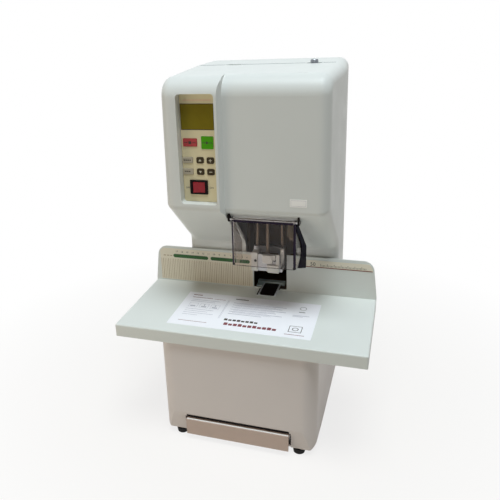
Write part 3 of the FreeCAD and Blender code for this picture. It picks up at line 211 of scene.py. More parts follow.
# The numbers after a colour are the roughness, the strength and size of the clouds,
# and the size and depth of the grain.
WHITE = srgb(219, 221, 217)
MATERIALS = {
    "housing": finish("housing_plastic", WHITE, 0.42, 0.012, 90.0, 0.7, 0.012, specular=0.3),
    "base": finish("base_plastic", srgb(222, 214, 210),
                   0.42, 0.015, 90.0, 0.7, 0.012, specular=0.2),
    "table": finish("table_powder_coat", srgb(222, 225, 220),
                    0.45, 0.015, 70.0, 1.1, 0.03, specular=0.3),
    "steel": finish("plain_steel", srgb(176, 174, 172),
                    0.34, 0.05, 12.0, 0.4, 0.008, metallic=1.0),
    "dark_steel": finish("dark_paint", srgb(80, 66, 50),
                         0.5, 0.05, 30.0, 0.8, 0.02, specular=0.2),
    "aluminium": finish("milled_aluminium", srgb(196, 190, 180),
                        0.4, 0.04, 14.0, 0.5, 0.01, metallic=1.0, stretch=(8.0, 1.0, 1.0)),
    "chrome": finish("polished_chrome", srgb(222, 223, 225),
                     0.12, 0.02, 20.0, 1.5, 0.002, metallic=1.0),
    "brass": finish("turned_brass", srgb(178, 150, 104),
                    0.34, 0.06, 8.0, 0.4, 0.008, metallic=1.0, stretch=(1.0, 1.0, 0.2)),
    "black_plastic": finish("black_plastic", srgb(26, 20, 20),
                            0.42, 0.08, 20.0, 0.6, 0.012, specular=0.06),
    "rubber": finish("black_rubber", srgb(28, 27, 27),
                     0.75, 0.1, 10.0, 0.5, 0.02, specular=0.2),
    "guard": clear_acrylic(),
    "membrane": finish("cream_membrane", srgb(226, 214, 176),
                       0.45, 0.03, 25.0, 0.5, 0.01, specular=0.2),
    "lcd": display_glass(),
    "key_red": finish("red_key", srgb(182, 72, 74), 0.5, 0.05, 6.0, 0.4, 0.008, specular=0.15),
    "key_green": finish("green_key", srgb(78, 160, 22), 0.5, 0.05, 6.0, 0.4, 0.008, specular=0.1),
    "key_grey": finish("grey_key", srgb(186, 176, 156),
                       0.5, 0.05, 6.0, 0.4, 0.008, specular=0.15),
    "key_black": finish("black_key", srgb(62, 52, 34), 0.5, 0.08, 6.0, 0.4, 0.008, specular=0.12),
    # red rocker whose strong colour clouds stand for its highlight band and darker side: painted
    # highlight and shade
    "rocker_red": finish("red_rocker_painted_highlight", srgb(152, 20, 34), 0.2, 0.2, 9.0, 0.6, 0.004, specular=0.3),
    "film_cream": finish("cream_film", srgb(235, 228, 209),
                         0.5, 0.02, 30.0, 0.6, 0.006, specular=0.2),
    "paper_white": finish("white_sheet", srgb(247, 246, 250),
                          0.5, 0.01, 40.0, 0.6, 0.006, specular=0.2),
    "board": finish("circuit_board", srgb(34, 98, 60), 0.45, 0.06, 6.0, 0.5, 0.02),
    "belt": finish("drive_belt", srgb(38, 38, 40), 0.65, 0.08, 6.0, 0.6, 0.03),
}
# white of the blank label, also used for the painted highlight on the drawer plate's top edge
LABEL_AND_HIGHLIGHT = finish("blank_label_and_painted_highlight", srgb(250, 248, 244), 0.5, 0.02, 12.0, specular=0.2)
# dark purple of the clear guard's folds and top edge: painted shade
GUARD_EDGE_SHADE = finish("acrylic_edge_painted_shade", srgb(36, 26, 44), 0.4, 0.05, 8.0, specular=0.1)
SCREW = finish("dark_screw", srgb(52, 50, 50), 0.36, 0.08, 3.0, 0.3, 0.01, metallic=0.6)
# steel of the rods, ram and drill bit inside the guard, darkened as painted shade
SHADED_ROD = finish("rod_steel_painted_shade", srgb(112, 98, 84), 0.36, 0.06, 6.0, 0.4, 0.01, metallic=1.0)
INLET = finish("inlet_steel", srgb(136, 140, 146), 0.3, 0.06, 5.0, 0.4, 0.008, metallic=1.0)
NODE_FINISHES = {
    "rear_housing": finish("rear_cover_plastic", WHITE,
                           0.42, 0.012, 90.0, 0.7, 0.008, specular=0.2),
    "drawer_front": finish("drawer_plate_paint", srgb(198, 178, 166),
                           0.4, 0.02, 40.0, 0.9, 0.02, specular=0.25),
    "press_blocks": finish("pale_block_plastic", srgb(208, 206, 198),
                           0.4, 0.03, 10.0, 0.5, 0.01, specular=0.4),
    "press_rods": SHADED_ROD,
    "guide_rods": SHADED_ROD,
    "drill_bit": SHADED_ROD,
    "rivet_ram": SHADED_ROD,
    "heater_sleeve": finish("heater_sleeve_metal", srgb(86, 74, 52),
                            0.5, 0.08, 8.0, 0.5, 0.02, specular=0.3),
    "tube_inlet": INLET,
    # brown of the frame inside the guard, darkened further as painted shade
    "column_frame": finish("column_brown_painted_shade", srgb(112, 86, 54),
                           0.5, 0.06, 40.0, 0.9, 0.03, specular=0.2),
    "pad_rails": finish("bright_rail", srgb(236, 238, 242),
                        0.4, 0.03, 8.0, 0.4, 0.006, metallic=0.5),
    "pad_bridge": finish("pale_bridge", srgb(186, 200, 200),
                         0.4, 0.04, 8.0, 0.4, 0.01, specular=0.4),
    "guard_arm": finish("guard_arm_paint", srgb(14, 10, 24),
                        0.55, 0.08, 12.0, 0.6, 0.01, specular=0.03),
}


def ink(name, red, green, blue):
    """Matt printing ink."""
    return finish(name, srgb(red, green, blue), 0.6, 0.05, 8.0, 0.4, 0.004, specular=0.15)


INKS = {
    "brown": ink("brown_ink", 184, 166, 136),
    "green": ink("green_ink", 66, 106, 66),
    "grey": ink("grey_ink", 180, 178, 188),
    "red": ink("red_ink", 118, 40, 34),
    "dark": ink("dark_ink", 74, 66, 58),
    "pale": ink("pale_ink", 206, 200, 178),
    "maroon": ink("maroon_ink", 132, 74, 78),
    "peach": ink("peach_ink", 230, 206, 174),
    "black": ink("black_ink", 34, 28, 26),
    # grey of the covers' joint: painted shade of the groove
    "seam": ink("seam_painted_shade", 96, 104, 110),
}


def dress_frame():
    """Every carried-over part takes the material of its slot, or one of its own."""
    for name, slot in SLOTS.items():
        materials = frame["nodes"][name].data.materials
        materials.clear()
        materials.append(NODE_FINISHES.get(name, MATERIALS[slot]))


# ---------------------------------------------------------------- building pieces

UPRIGHT = Matrix.Rotation(math.radians(90), 4, "X")
CORNER_STEPS = 5
RING_STEPS = 20


def add_wall(mesh, lower, upper):
    """Closed band of faces between two rings of points."""
    count = len(lower)
    for i in range(count):
        j = (i + 1) % count
        mesh.faces.new((lower[j], lower[i], upper[i], upper[j]))


def add_prism(mesh, points, direction, depth):
    """Flat polygon given by space points, thickened along a direction, added to a bmesh."""
    lower = [mesh.verts.new(point * MM) for point in points]
    upper = [mesh.verts.new((point + direction * depth) * MM) for point in points]
    mesh.faces.new(lower)
    mesh.faces.new(list(reversed(upper)))
    add_wall(mesh, lower, upper)


def add_turned(mesh, profile, place, steps):
    """Turned shape: (radius, height) rings round a matrix's Z axis, closed at both ends."""
    rings = []
    for radius, height in profile:
        angles = [2 * math.pi * k / steps for k in range(steps)]
        ring = [place @ Vector((radius * math.cos(a), radius * math.sin(a), height))
                for a in angles]
        rings.append([mesh.verts.new(point * MM) for point in ring])
    for lower, upper in zip(rings, rings[1:]):
        add_wall(mesh, lower, upper)
    mesh.faces.new(rings[0])
    mesh.faces.new(list(reversed(rings[-1])))


def on_front(y):
    """Place for prints on an upright face at y: (x, z) to space, thickened to the front."""
    return (lambda a, b: Vector((a, y, b))), Vector((0, -1, 0))


def on_top(z):
    """Place for prints on a level face at z: (x, y) to space, thickened upwards."""
    return (lambda a, b: Vector((a, b, z))), Vector((0, 0, 1))


def round_rectangle(x0, x1, y0, y1, radius=0.0):
    """Corner points of a rectangle, rounded where a radius is given."""
    if radius <= 0:
        return [(x0, y0), (x1, y0), (x1, y1), (x0, y1)]
    points = []
    centres = ((x1 - radius, y0 + radius, -90), (x1 - radius, y1 - radius, 0),
               (x0 + radius, y1 - radius, 90), (x0 + radius, y0 + radius, 180))
    for cx, cy, start in centres:
        for step in range(CORNER_STEPS + 1):
            angle = math.radians(start + 90 * step / CORNER_STEPS)
            points.append((cx + radius * math.cos(angle), cy + radius * math.sin(angle)))
    return points


def frame_outline(x0, x1, y0, y1, width):
    """Four thin bars round a rectangle."""
    return [round_rectangle(x0, x1, y0, y0 + width), round_rectangle(x0, x1, y1 - width, y1),
            round_rectangle(x0, x0 + width, y0 + width, y1 - width),
            round_rectangle(x1 - width, x1, y0 + width, y1 - width)]


def ring_outline(x, y, radius, width):
    """Ring as a row of short straight bars."""
    bars = []
    hole = radius - width
    for k in range(RING_STEPS):
        angles = [2 * math.pi * step / RING_STEPS for step in (k, k + 1)]
        outer = [(x + radius * math.cos(a), y + radius * math.sin(a)) for a in angles]
        inner = [(x + hole * math.cos(a), y + hole * math.sin(a)) for a in angles]
        bars.append([outer[0], outer[1], inner[1], inner[0]])
    return bars


def linked_object(name, mesh, material):
    """Object in the scene from a bmesh, which is freed."""
    bmesh.ops.recalc_face_normals(mesh, faces=mesh.faces)
    data = bpy.data.meshes.new(name)
    mesh.to_mesh(data)
    mesh.free()
    data.materials.append(material)
    piece = bpy.data.objects.new(name, data)
    bpy.context.scene.collection.objects.link(piece)
    return piece


def finished_object(name, mesh, material, body):
    """Piece from a bmesh, riding on a body."""
    piece = linked_object(name, mesh, material)
    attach(piece, body)


def print_shapes(name, shapes, place, material, body="machine", depth=INK):
    """One print made of many flat outlines on the same face."""
    to_space, direction = place
    mesh = bmesh.new()
    for outline in shapes:
        add_prism(mesh, [to_space(a, b) for a, b in outline], direction, depth)
    finished_object(name, mesh, material, body)


def print_numbers(name, marks, height, place, material):
    """Plain numbers or ON and OFF as flat solids on an upright face: marks are (text, x, z)."""
    to_space, direction = place
    mesh = bmesh.new()
    for text, a, b in marks:
        curve = bpy.data.curves.new("number", "FONT")
        curve.body = text
        curve.size = height * MM
        curve.align_x = "CENTER"
        curve.extrude = INK / 2 * MM
        holder = bpy.data.objects.new("number", curve)
        bpy.context.scene.collection.objects.link(holder)
        bpy.context.view_layer.update()
        solid = bpy.data.meshes.new_from_object(holder)
        middle = to_space(a, b) * MM + direction * INK / 2 * MM
        solid.transform(Matrix.Translation(middle) @ UPRIGHT)
        mesh.from_mesh(solid)
        bpy.data.objects.remove(holder)
        bpy.data.curves.remove(curve)
        bpy.data.meshes.remove(solid)
    finished_object(name, mesh, material, "machine")


# ---------------------------------------------------------------- prints on the fence

FILM_MARGIN = 1.0                    # bare edge of the films
STROKE_PITCH = 10.0 / 3
STROKE_HEIGHT = 39.5
WIDE_STROKE = 0.45                   # half widths
THIN_STROKE = 0.3
CAPACITY_BARS = ((-160.0, -94.0), (-89.5, -18.0))
SHORT_BARS = (-179.0, -172.5, -166.5)
SHORT_BAR = 4.5
CENTIMETRES = range(4, 18)
TICKS = 34
TICK_START = 26.0
TICK_PITCH = 2.2
TICK_HALF = 0.28
TICK_GAP = 1.4
LONG_TICK = 5.0
SHORT_TICK = 3.2


def fence_prints():
    """Stroke lines, two capacity bars and a plain centimetre scale left of the drill."""
    place = on_front(SCALE_LOW.y)
    first = math.ceil((SCALE_LOW.x + FILM_MARGIN) / STROKE_PITCH)
    last = math.floor((SCALE_HIGH.x - FILM_MARGIN) / STROKE_PITCH)
    low = SCALE_LOW.z + FILM_MARGIN
    strokes = []
    for k in range(first, last + 1):
        x = k * STROKE_PITCH
        half = WIDE_STROKE if k % 3 == 0 else THIN_STROKE
        strokes.append(round_rectangle(x - half, x + half, low, low + STROKE_HEIGHT))
    print_shapes("fence_strokes", strokes, place, INKS["brown"])
    bars = [round_rectangle(x0, x1, low + 42.6, low + 49.2, 3.2) for x0, x1 in CAPACITY_BARS]
    print_shapes("fence_bars", bars, place, INKS["green"])
    marks = [(str(n), DRILL_X - 10.0 * n, low + 52.6) for n in CENTIMETRES]
    print_numbers("fence_numbers", marks, 4.4, place, INKS["dark"])
    short = [round_rectangle(x, x + SHORT_BAR, low + 44.6, low + 46.2, 0.6) for x in SHORT_BARS]
    print_shapes("fence_dashes", short, place, INKS["brown"])


def limit_prints():
    """Thin line at the thickest stack, with its height in millimetres and a row of ticks."""
    place = on_front(LIMIT_LOW.y)
    line_z = LIMIT_LOW.z + FILM_MARGIN
    right = LIMIT_HIGH.x - FILM_MARGIN
    line = [round_rectangle(LIMIT_LOW.x, right, line_z - 0.8, line_z + 0.5)]
    print_shapes("limit_line", line, place, INKS["red"])
    ticks = []
    low = line_z + TICK_GAP
    for k in range(TICKS):
        x = LIMIT_LOW.x + TICK_START + TICK_PITCH * k
        height = LONG_TICK if k % 5 == 0 else SHORT_TICK
        ticks.append(round_rectangle(x - TICK_HALF, x + TICK_HALF, low, low + height))
    print_shapes("limit_ticks", ticks, place, INKS["dark"])
    marks = [("50", LIMIT_LOW.x + 13.0, line_z + 2.0)]
    print_numbers("limit_number", marks, 9.0, place, INKS["black"])


# ---------------------------------------------------------------- instruction sheet
# Places on the sheet are given from its left edge and down from its rear edge.

BLOCK_GAP = 1.6
BLOCK_DROPS = (0.0, 0.25, 0.1)       # shares of its height by which a block starts lower
LINES = (0.96, 0.9, 0.98, 0.82, 0.94, 0.6)


def sheet_bar(x0, x1, down, thick, radius=0.0):
    """Bar on the sheet."""
    return round_rectangle(SHEET_LEFT + x0, SHEET_LEFT + x1,
                           SHEET_REAR - down - thick, SHEET_REAR - down, radius)


def rule_block(x0, x1, down, shares, pitch, thick=0.9):
    """Lines of text stood for by rules, each a share of the block's width."""
    return [sheet_bar(x0, x0 + (x1 - x0) * share, down + pitch * k, thick)
            for k, share in enumerate(shares)]


def dash_row(x0, x1, down, thick, count):
    """Row of rounded blocks of uneven height, in place of a line of large type."""
    pitch = (x1 - x0 + BLOCK_GAP) / count
    bars = []
    for k in range(count):
        drop = thick * BLOCK_DROPS[k % 3]
        left = x0 + pitch * k
        right = x0 + pitch * (k + 1) - BLOCK_GAP
        bars.append(sheet_bar(left, right, down + drop, thick - drop, 0.6))
    return bars


def small_steps():
    """Three small framed steps: a stack alone, then twice with a point over it."""
    shapes = []
    for k, x in enumerate((14.0, 33.0, 52.0)):
        x0 = SHEET_LEFT + x
        y0 = SHEET_REAR - 54.0
        shapes += frame_outline(x0, x0 + 15.0, y0, y0 + 14.0, 0.35)
        shapes.append(round_rectangle(x0 + 3.0, x0 + 12.0, y0 + 2.5, y0 + 5.5, 0.5))
        if k > 0:
            shapes.append([(x0 + 6.3, y0 + 12.0), (x0 + 7.5, y0 + 6.2), (x0 + 8.7, y0 + 12.0)])
    return shapes


def sheet_prints():
    """Generic layout of a user sheet: rules, small steps and frames, no words."""
    place = on_top(SHEET_HIGH.z)
    rules = rule_block(13.0, 66.0, 27.0, (0.94, 0.8), 5.4)
    rules += rule_block(13.0, 66.0, 60.0, (0.9, 0.74, 0.96, 0.5), 6.4)
    rules += rule_block(86.0, 178.0, 24.0, LINES, 7.6, 1.3)
    rules += rule_block(92.0, 160.0, 27.8, LINES[:5], 7.6, 0.8)
    rules += rule_block(188.0, 215.0, 44.0, (0.98, 0.6), 3.4, 1.2)
    rules += small_steps()
    rules += [sheet_bar(75.0, 75.5, 16.0, 66.0), sheet_bar(77.0, 77.3, 16.0, 66.0)]
    print_shapes("sheet_rules", rules, place, INKS["grey"])
    heads = [sheet_bar(86.0, 108.0, 10.0, 2.2, 0.6)]
    heads += dash_row(86.0, 140.0, 80.0, 6.0, 8)
    heads += frame_outline(SHEET_LEFT + 190.0, SHEET_LEFT + 210.0,
                           SHEET_REAR - 98.0, SHEET_REAR - 79.0, 1.0)
    heads += ring_outline(SHEET_LEFT + 200.0, SHEET_REAR - 88.5, 5.0, 1.2)
    heads += ring_outline(SHEET_LEFT + 201.0, SHEET_REAR - 20.0, 5.5, 0.6)
    heads += [sheet_bar(196.0, 206.0, 32.0, 1.6)]
    print_shapes("sheet_heads", heads, place, INKS["dark"])
    reds = [sheet_bar(10.0, 26.0, 9.0, 2.0, 0.6), sheet_bar(11.0, 47.0, 18.0, 1.2),
            sheet_bar(50.0, 70.0, 18.6, 0.8)]
    reds += dash_row(89.0, 172.0, 92.5, 8.0, 11)
    reds += [sheet_bar(186.0, 216.0, 105.0, 1.2), sheet_bar(14.0, 62.0, 100.0, 1.0)]
    print_shapes("sheet_marks", reds, place, INKS["maroon"])


# ---------------------------------------------------------------- cover and panel

LABEL_BOX = (68.0, 92.7, 383.0, 394.6)
LABEL_THICK = 0.25
LABEL_MARGIN = 1.4
RIM = 1.0                            # width of the dark rim round the display: its bezel edge, and also painted shade of the recess
MENU_SIGN = 2.4                      # half width of the signs on the menu keys
THIN_BAR = 0.5                       # half thickness of their bars


def cover_label():
    """Small blank label at the lower right of the cover."""
    x0, x1, z0, z1 = LABEL_BOX
    print_shapes("cover_label", [round_rectangle(x0, x1, z0, z1, 0.8)], on_front(COVER_FACE),
                 LABEL_AND_HIGHLIGHT, depth=LABEL_THICK)
    inner = frame_outline(x0 + LABEL_MARGIN, x1 - LABEL_MARGIN,
                          z0 + LABEL_MARGIN, z1 - LABEL_MARGIN, 0.3)
    print_shapes("cover_label_frame", inner, on_front(COVER_FACE - LABEL_THICK),
                 INKS["grey"], depth=0.04)


def arrow(way):
    """Triangle that points up (1) or down (-1)."""
    return [[(-MENU_SIGN, -1.4 * way), (MENU_SIGN, -1.4 * way), (0.0, 2.0 * way)]]


def cross(half, width):
    """Plus sign."""
    return [round_rectangle(-half, half, -width, width),
            round_rectangle(-width, width, width, half),
            round_rectangle(-width, width, -half, -width)]


def word_bars(x0, count, pitch, length, half):
    """Row of short bars that stands for a word on a key."""
    return [round_rectangle(x0 + pitch * k, x0 + pitch * k + length, -half, half)
            for k in range(count)]


def key_signs():
    """Arrows and signs on the menu keys, a stop and a start sign, and bars in place of words."""
    minus = [round_rectangle(-MENU_SIGN, MENU_SIGN, -THIN_BAR, THIN_BAR)]
    stop = [round_rectangle(-2.2, 2.2, -2.2, 2.2)]
    start = [[(-1.9, -2.6), (2.6, 0.0), (-1.9, 2.6)]]
    signs = {
        "menu_key_1": (arrow(1), "pale"),
        "menu_key_2": (cross(MENU_SIGN, THIN_BAR), "pale"),
        "menu_key_3": (arrow(-1), "pale"),
        "menu_key_4": (minus, "pale"),
        "function_key_1": (word_bars(-6.0, 4, 3.1, 2.2, 0.9), "dark"),
        "function_key_2": (word_bars(-4.5, 3, 3.1, 2.2, 0.9), "dark"),
        "stop_key": (stop + word_bars(-8.6, 2, 2.6, 1.8, 0.7)
                     + word_bars(4.4, 2, 2.6, 1.8, 0.7), "dark"),
        "start_key": (start + word_bars(-7.0, 2, 2.4, 1.6, 0.7)
                      + word_bars(3.6, 2, 2.4, 1.6, 0.7), "dark"),
    }
    for node, (shapes, colour) in signs.items():
        x, z, y = centre(node)
        moved = [[(x + a, z + b) for a, b in shape] for shape in shapes]
        print_shapes(node + "_sign", moved, on_front(y), INKS[colour],
                     body=node, depth=0.05)


def panel_prints():
    """Dark rim of the display, partly its bezel and partly painted shade of the recess, a pale line
    over it and the switch's OFF and ON.
    """
    place = on_front(PANEL_FACE)
    # dark rim: the display's bezel edge and painted shade of its recess
    rim = frame_outline(LCD_LOW.x - RIM, LCD_HIGH.x + RIM, LCD_LOW.z - RIM, LCD_HIGH.z + RIM, RIM)
    print_shapes("display_rim_with_painted_shade", rim, place, INKS["dark"], depth=0.12)
    x, z, _ = centre("switch_frame")
    marks = [("OFF", x - 18.4, z - 2.9), ("ON", x + 19.6, z - 1.9)]
    print_numbers("switch_marks", marks, 3.8, place, INKS["black"])
    line = [round_rectangle(LCD_LOW.x + 4.0, LCD_HIGH.x - 3.0,
                            LCD_HIGH.z + 4.4, LCD_HIGH.z + 7.4, 1.2)]
    print_shapes("display_line", line, place, INKS["peach"], depth=0.05)


# ---------------------------------------------------------------- small fittings, with painted shade and highlight

GUARD_LEFT = GUARD_LOW.x + 4.4       # the wings flare this much from the front folds
GUARD_RIGHT = GUARD_HIGH.x - 4.4
FOLD_RADIUS = 4.0
FOLD_LOW = 280.5                     # heights over the floor between which the folds are painted dark, as painted shade
FOLD_HIGH = GUARD_HIGH.z - 5.0
FOLD_HALF = 35.0                     # degrees to either side of a fold's middle
FOLD_STEPS = 8
FOLD_CLEAR = 0.02
FOLD_THICK = 0.22
STOP_HEIGHT = 282.4
STOP_PROFILE = ((1.7, 0.0), (1.7, 0.7), (1.2, 1.1))
SCREW_RADIUS = 2.3
TABLE_TOP = 200.0
NOTCH_LEFT = -68.0                   # finger notch in the joint of the covers
NOTCH_RIGHT = -40.0
INLET_CLEAR = 14.0
JOINT_SHADE_HALF = 110.0
TEETH = 30
TOOTH_TIP = 5.95
TOOTH_ROOT = 5.62
KNURL_BORE = 5.4


def fold_band(mesh, side):
    """Thin upright band of painted shade round one of the guard's front folds, left (-1) or right
    (1).
    """
    edge = GUARD_LEFT if side < 0 else GUARD_RIGHT
    axis = Vector((edge - side * FOLD_RADIUS, GUARD_LOW.y + FOLD_RADIUS, FOLD_LOW))
    rings = []
    for radius in (FOLD_RADIUS + FOLD_CLEAR, FOLD_RADIUS + FOLD_CLEAR + FOLD_THICK):
        ring = []
        for k in range(FOLD_STEPS + 1):
            angle = math.radians(45 - FOLD_HALF + 2 * FOLD_HALF * k / FOLD_STEPS)
            across = side * radius * math.cos(angle)
            ring.append(axis + Vector((across, -radius * math.sin(angle), 0)))
        rings.append(ring)
    outline = rings[0] + list(reversed(rings[1]))
    add_prism(mesh, outline, Vector((0, 0, 1)), FOLD_HIGH - FOLD_LOW)


def guard_edges():
    """Polished edges and folds of the clear guard, which show dark, given as bands of painted shade,
    with its two rubber stops.
    """
    mesh = bmesh.new()
    fold_band(mesh, -1)
    fold_band(mesh, 1)
    to_space, direction = on_front(GUARD_LOW.y)
    # band along the guard's top edge: painted shade
    band = round_rectangle(GUARD_LEFT + FOLD_RADIUS, GUARD_RIGHT - FOLD_RADIUS,
                           GUARD_HIGH.z - 6.4, GUARD_HIGH.z - 2.8)
    add_prism(mesh, [to_space(a, b) for a, b in band], direction, 0.2)
    finished_object("guard_edges", mesh, GUARD_EDGE_SHADE, "guard")
    mesh = bmesh.new()
    for x in (GUARD_LEFT + 3.2, GUARD_RIGHT - 2.2):
        place = Matrix.Translation((x, GUARD_LOW.y, STOP_HEIGHT)) @ UPRIGHT
        add_turned(mesh, STOP_PROFILE, place, 16)
    finished_object("guard_stops", mesh, MATERIALS["rubber"], "guard")


def facing_front(x, y, z):
    """Matrix that puts a turned shape at a point with its axis to the front."""
    turn = Vector((0, -1, 0)).to_track_quat("Z", "Y").to_matrix().to_4x4()
    return Matrix.Translation((x, y, z)) @ turn


def add_screw(mesh, radius, place):
    """Pan head with a cross in it: four wedges stand on the head and leave the cross between."""
    top = 0.4 * radius
    width = 0.14 * radius
    reach = 0.62 * radius
    profile = ((radius, 0.0), (radius, 0.25 * radius), (0.82 * radius, top))
    add_turned(mesh, profile, place, 20)
    out = place.to_3x3() @ Vector((0, 0, 1))
    for k in range(4):
        turn = Matrix.Rotation(math.radians(90 * k), 4, "Z")
        wedge = [(width, width), (reach, width), (0.72 * reach, 0.72 * reach), (width, reach)]
        points = [place @ turn @ Vector((a, b, top)) for a, b in wedge]
        add_prism(mesh, points, out, 0.16 * radius)


def presser_screws():
    """Two screws on the front of the presser."""
    mesh = bmesh.new()
    add_screw(mesh, SCREW_RADIUS, facing_front(PRESS_LOW.x + 7.9, PRESS_LOW.y - 3.0, 265.2))
    add_screw(mesh, SCREW_RADIUS, facing_front(PRESS_HIGH.x - 11.9, PRESS_LOW.y, 266.2))
    finished_object("presser_screws", mesh, SCREW, "presser")


def slot_seal():
    """Narrow black strip on the table beside the left rail."""
    strip = [round_rectangle(-0.9, 1.4, -8.0, SCALE_LOW.y - 0.2, 0.8)]
    print_shapes("slot_seal", strip, on_top(TABLE_TOP), MATERIALS["black_plastic"],
                 depth=1.2)


def cover_seal():
    """Thin grey strip of painted shade on the joint of the covers, left out at the finger notch and
    the inlet.
    """
    spans = ((-JOINT_SHADE_HALF, NOTCH_LEFT), (NOTCH_RIGHT, INLET_X - INLET_CLEAR),
             (INLET_X + INLET_CLEAR, JOINT_SHADE_HALF))
    # grey strip over the groove between the covers: painted shade
    parts = [round_rectangle(x0, x1, COVER_HIGH.y - 1.3, COVER_HIGH.y + 1.4) for x0, x1 in spans]
    print_shapes("cover_seal", parts, on_top(COVER_HIGH.z - 0.06), INKS["seam"],
                 depth=0.2)


def drawer_trims():
    """Black strip on the base over the drawer's slot, painted shadow of the gap above the plate, and
    a pale strip on the top edge of its plate, painted highlight.
    """
    low, high = millimetres("drawer_front")
    wall = millimetres("base_housing")[0].y + 1.0    # the base slopes back towards its foot
    # black strip above the drawer plate: painted shadow of the gap
    gap_shadow = [round_rectangle(low.x, high.x, high.z + 3.0, high.z + 6.2)]
    print_shapes("drawer_gap_painted_shadow", gap_shadow, on_front(wall), MATERIALS["black_plastic"],
                 depth=0.9)
    # pale strip on the plate's top edge: painted highlight
    lip = [round_rectangle(low.x + 1.0, high.x - 1.0, low.y + 1.0, low.y + 3.0)]
    print_shapes("drawer_lip_painted_highlight", lip, on_top(high.z), LABEL_AND_HIGHLIGHT, body="drawer", depth=0.1)


def inlet_knurl():
    """Knurled ring round the rivet tube's inlet on the top."""
    mesh = bmesh.new()
    loops = []
    for height in (INLET_LOW.z + 2.2, INLET_HIGH.z - 1.2):
        middle = Vector((INLET_X, INLET_Y, height))
        outer = []
        inner = []
        for k in range(2 * TEETH):
            angle = math.pi * k / TEETH
            around = Vector((math.cos(angle), math.sin(angle), 0))
            radius = TOOTH_TIP if k % 2 else TOOTH_ROOT
            outer.append(mesh.verts.new((middle + around * radius) * MM))
            inner.append(mesh.verts.new((middle + around * KNURL_BORE) * MM))
        loops.append((outer, inner))
    (low_outer, low_inner), (high_outer, high_inner) = loops
    add_wall(mesh, low_outer, high_outer)
    add_wall(mesh, low_inner, high_inner)
    add_wall(mesh, low_outer, low_inner)
    add_wall(mesh, high_outer, high_inner)
    finished_object("inlet_knurl", mesh, INLET, "machine")


# ---------------------------------------------------------------- stage, light and camera
# Places and sizes in this part are in metres, except those of the floor.

CAMERA_PLACE = (0.21739, -0.88499, 0.64656)
CAMERA_YAW = 19.88                   # degrees
CAMERA_PITCH = 21.76
CAMERA_ROLL = -3.04
CAMERA_LENS = 42.0
CAMERA_SENSOR = 36.0
CAMERA_SHIFT = 0.1
AMBIENT = (1.0, 0.93, 0.85, 1.0)
AMBIENT_STRENGTH = 0.09
PLAIN_WHITE = (1.0, 1.0, 1.0, 1.0)
FLOOR_COLOUR = srgb(226, 217, 206)
GLOW_NEAR = 0.8                      # share of plain white in the floor near the machine
GLOW_FAR = 1.0                       # and further out
FADE_START = 0.25                    # distances between which the one turns into the other
FADE_END = 0.7
FLOOR_HALF = 6000.0
FLOOR_THICK = 20.0
FLOOR_GAP = 0.2
MIDDLE = (0.0, 0.0, 0.3)
LAMPS = (                            # name, place, aim, size, watts, colour
    ("overhead", (0.25, -0.6, 3.1), MIDDLE, (1.4, 1.4), 80.0, (0.86, 0.95, 1.0)),
    ("left", (-0.9, -0.75, 0.4), (-0.1, -0.1, 0.25), (0.5, 0.6), 2.3, (1.0, 0.88, 0.72)),
    ("side", (1.6, 0.4, 1.9), MIDDLE, (1.0, 1.0), 1.0, (0.95, 0.98, 1.0)),
)


def camera():
    """Camera in front of the machine, a little above it and to its right."""
    yaw = math.radians(CAMERA_YAW)
    pitch = math.radians(CAMERA_PITCH)
    roll = math.radians(CAMERA_ROLL)
    forward = Vector((-math.sin(yaw) * math.cos(pitch), math.cos(yaw) * math.cos(pitch),
                      -math.sin(pitch)))
    right = Vector((math.cos(yaw), math.sin(yaw), 0.0))
    up = right.cross(forward)
    across = math.cos(roll) * right + math.sin(roll) * up
    upward = math.cos(roll) * up - math.sin(roll) * right
    data = bpy.data.cameras.new("camera")
    data.lens = CAMERA_LENS
    data.sensor_width = CAMERA_SENSOR
    data.shift_x = CAMERA_SHIFT
    holder = bpy.data.objects.new("camera", data)
    holder.matrix_world = Matrix((across, upward, -forward)).transposed().to_4x4()
    holder.location = CAMERA_PLACE
    bpy.context.scene.collection.objects.link(holder)
    bpy.context.scene.camera = holder


def area_light(name, place, target, size, power, colour):
    """Soft rectangular lamp aimed at a point."""
    data = bpy.data.lights.new(name, "AREA")
    data.shape = "RECTANGLE"
    data.size = size[0]
    data.size_y = size[1]
    data.energy = power
    data.color = colour
    lamp = bpy.data.objects.new(name, data)
    lamp.location = place
    lamp.rotation_euler = (Vector(target) - Vector(place)).to_track_quat("-Z", "Y").to_euler()
    bpy.context.scene.collection.objects.link(lamp)


def calculate(tree, operation, first, second):
    """Result of a sum of two node outputs."""
    node = tree.nodes.new("ShaderNodeMath")
    node.operation = operation
    tree.links.new(first, node.inputs[0])
    tree.links.new(second, node.inputs[1])
    return node.outputs[0]


def seen_directly(tree):
    """1 where a ray comes from the camera, a mirror or through glass."""
    rays = tree.nodes.new("ShaderNodeLightPath")
    total = rays.outputs["Is Camera Ray"]
    for name in ("Is Glossy Ray", "Is Transmission Ray"):
        total = calculate(tree, "MAXIMUM", total, rays.outputs[name])
    return total


def mix_shaders(tree, factor, first, second, output):
    """The first shader turned into the second by a factor, sent to an output node."""
    mix = tree.nodes.new("ShaderNodeMixShader")
    out = tree.nodes.new(output)
    tree.links.new(factor, mix.inputs[0])
    tree.links.new(first.outputs[0], mix.inputs[1])
    tree.links.new(second.outputs[0], mix.inputs[2])
    tree.links.new(mix.outputs[0], out.inputs[0])


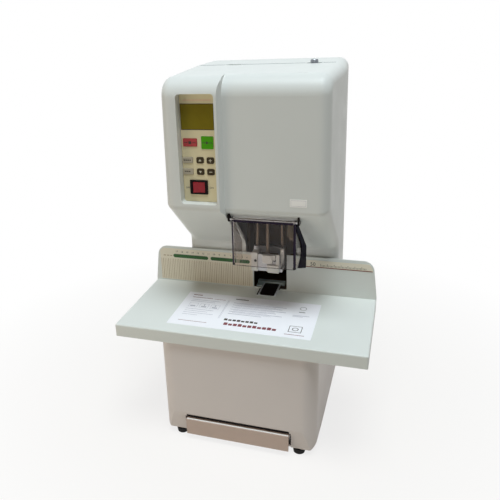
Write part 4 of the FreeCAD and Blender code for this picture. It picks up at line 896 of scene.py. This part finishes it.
def surroundings():
    """Faint warm light from all round, seen as white."""
    world = bpy.data.worlds.new("studio")
    bpy.context.scene.world = world
    world.use_nodes = True
    tree = world.node_tree
    tree.nodes.clear()
    ambient = tree.nodes.new("ShaderNodeBackground")
    ambient.inputs["Color"].default_value = AMBIENT
    ambient.inputs["Strength"].default_value = AMBIENT_STRENGTH
    white = tree.nodes.new("ShaderNodeBackground")
    white.inputs["Color"].default_value = PLAIN_WHITE
    mix_shaders(tree, seen_directly(tree), ambient, white, "ShaderNodeOutputWorld")


def floor_material():
    """Pale floor that keeps the soft shadow near the machine and turns whiter further out."""
    material = bpy.data.materials.new("floor_white")
    material.use_nodes = True
    tree = material.node_tree
    tree.nodes.clear()
    matt = tree.nodes.new("ShaderNodeBsdfDiffuse")
    matt.inputs["Color"].default_value = FLOOR_COLOUR
    glow = tree.nodes.new("ShaderNodeEmission")
    glow.inputs["Color"].default_value = PLAIN_WHITE
    length = tree.nodes.new("ShaderNodeVectorMath")
    length.operation = "LENGTH"
    tree.links.new(object_space(tree), length.inputs[0])
    share = remap(tree, length.outputs["Value"], GLOW_NEAR, GLOW_FAR, FADE_START, FADE_END)
    factor = calculate(tree, "MULTIPLY", seen_directly(tree), share)
    mix_shaders(tree, factor, matt, glow, "ShaderNodeOutputMaterial")
    return material


def floor():
    """Slab under the machine, larger than the view."""
    mesh = bmesh.new()
    outline = round_rectangle(-FLOOR_HALF, FLOOR_HALF, -FLOOR_HALF, FLOOR_HALF)
    corners = [Vector((a, b, -FLOOR_GAP)) for a, b in outline]
    add_prism(mesh, corners, Vector((0, 0, -1)), FLOOR_THICK)
    ground = linked_object("floor", mesh, floor_material())


def studio():
    """Large cool lamp overhead, a weak warm one low on the left and a weak one on the right."""
    for lamp in LAMPS:
        area_light(*lamp)


dress_frame()
fence_prints()
limit_prints()
sheet_prints()
cover_label()
key_signs()
panel_prints()
guard_edges()
presser_screws()
slot_seal()
cover_seal()
drawer_trims()
inlet_knurl()
camera()
surroundings()
floor()
studio()
bpy.context.scene.view_settings.view_transform = "Standard"
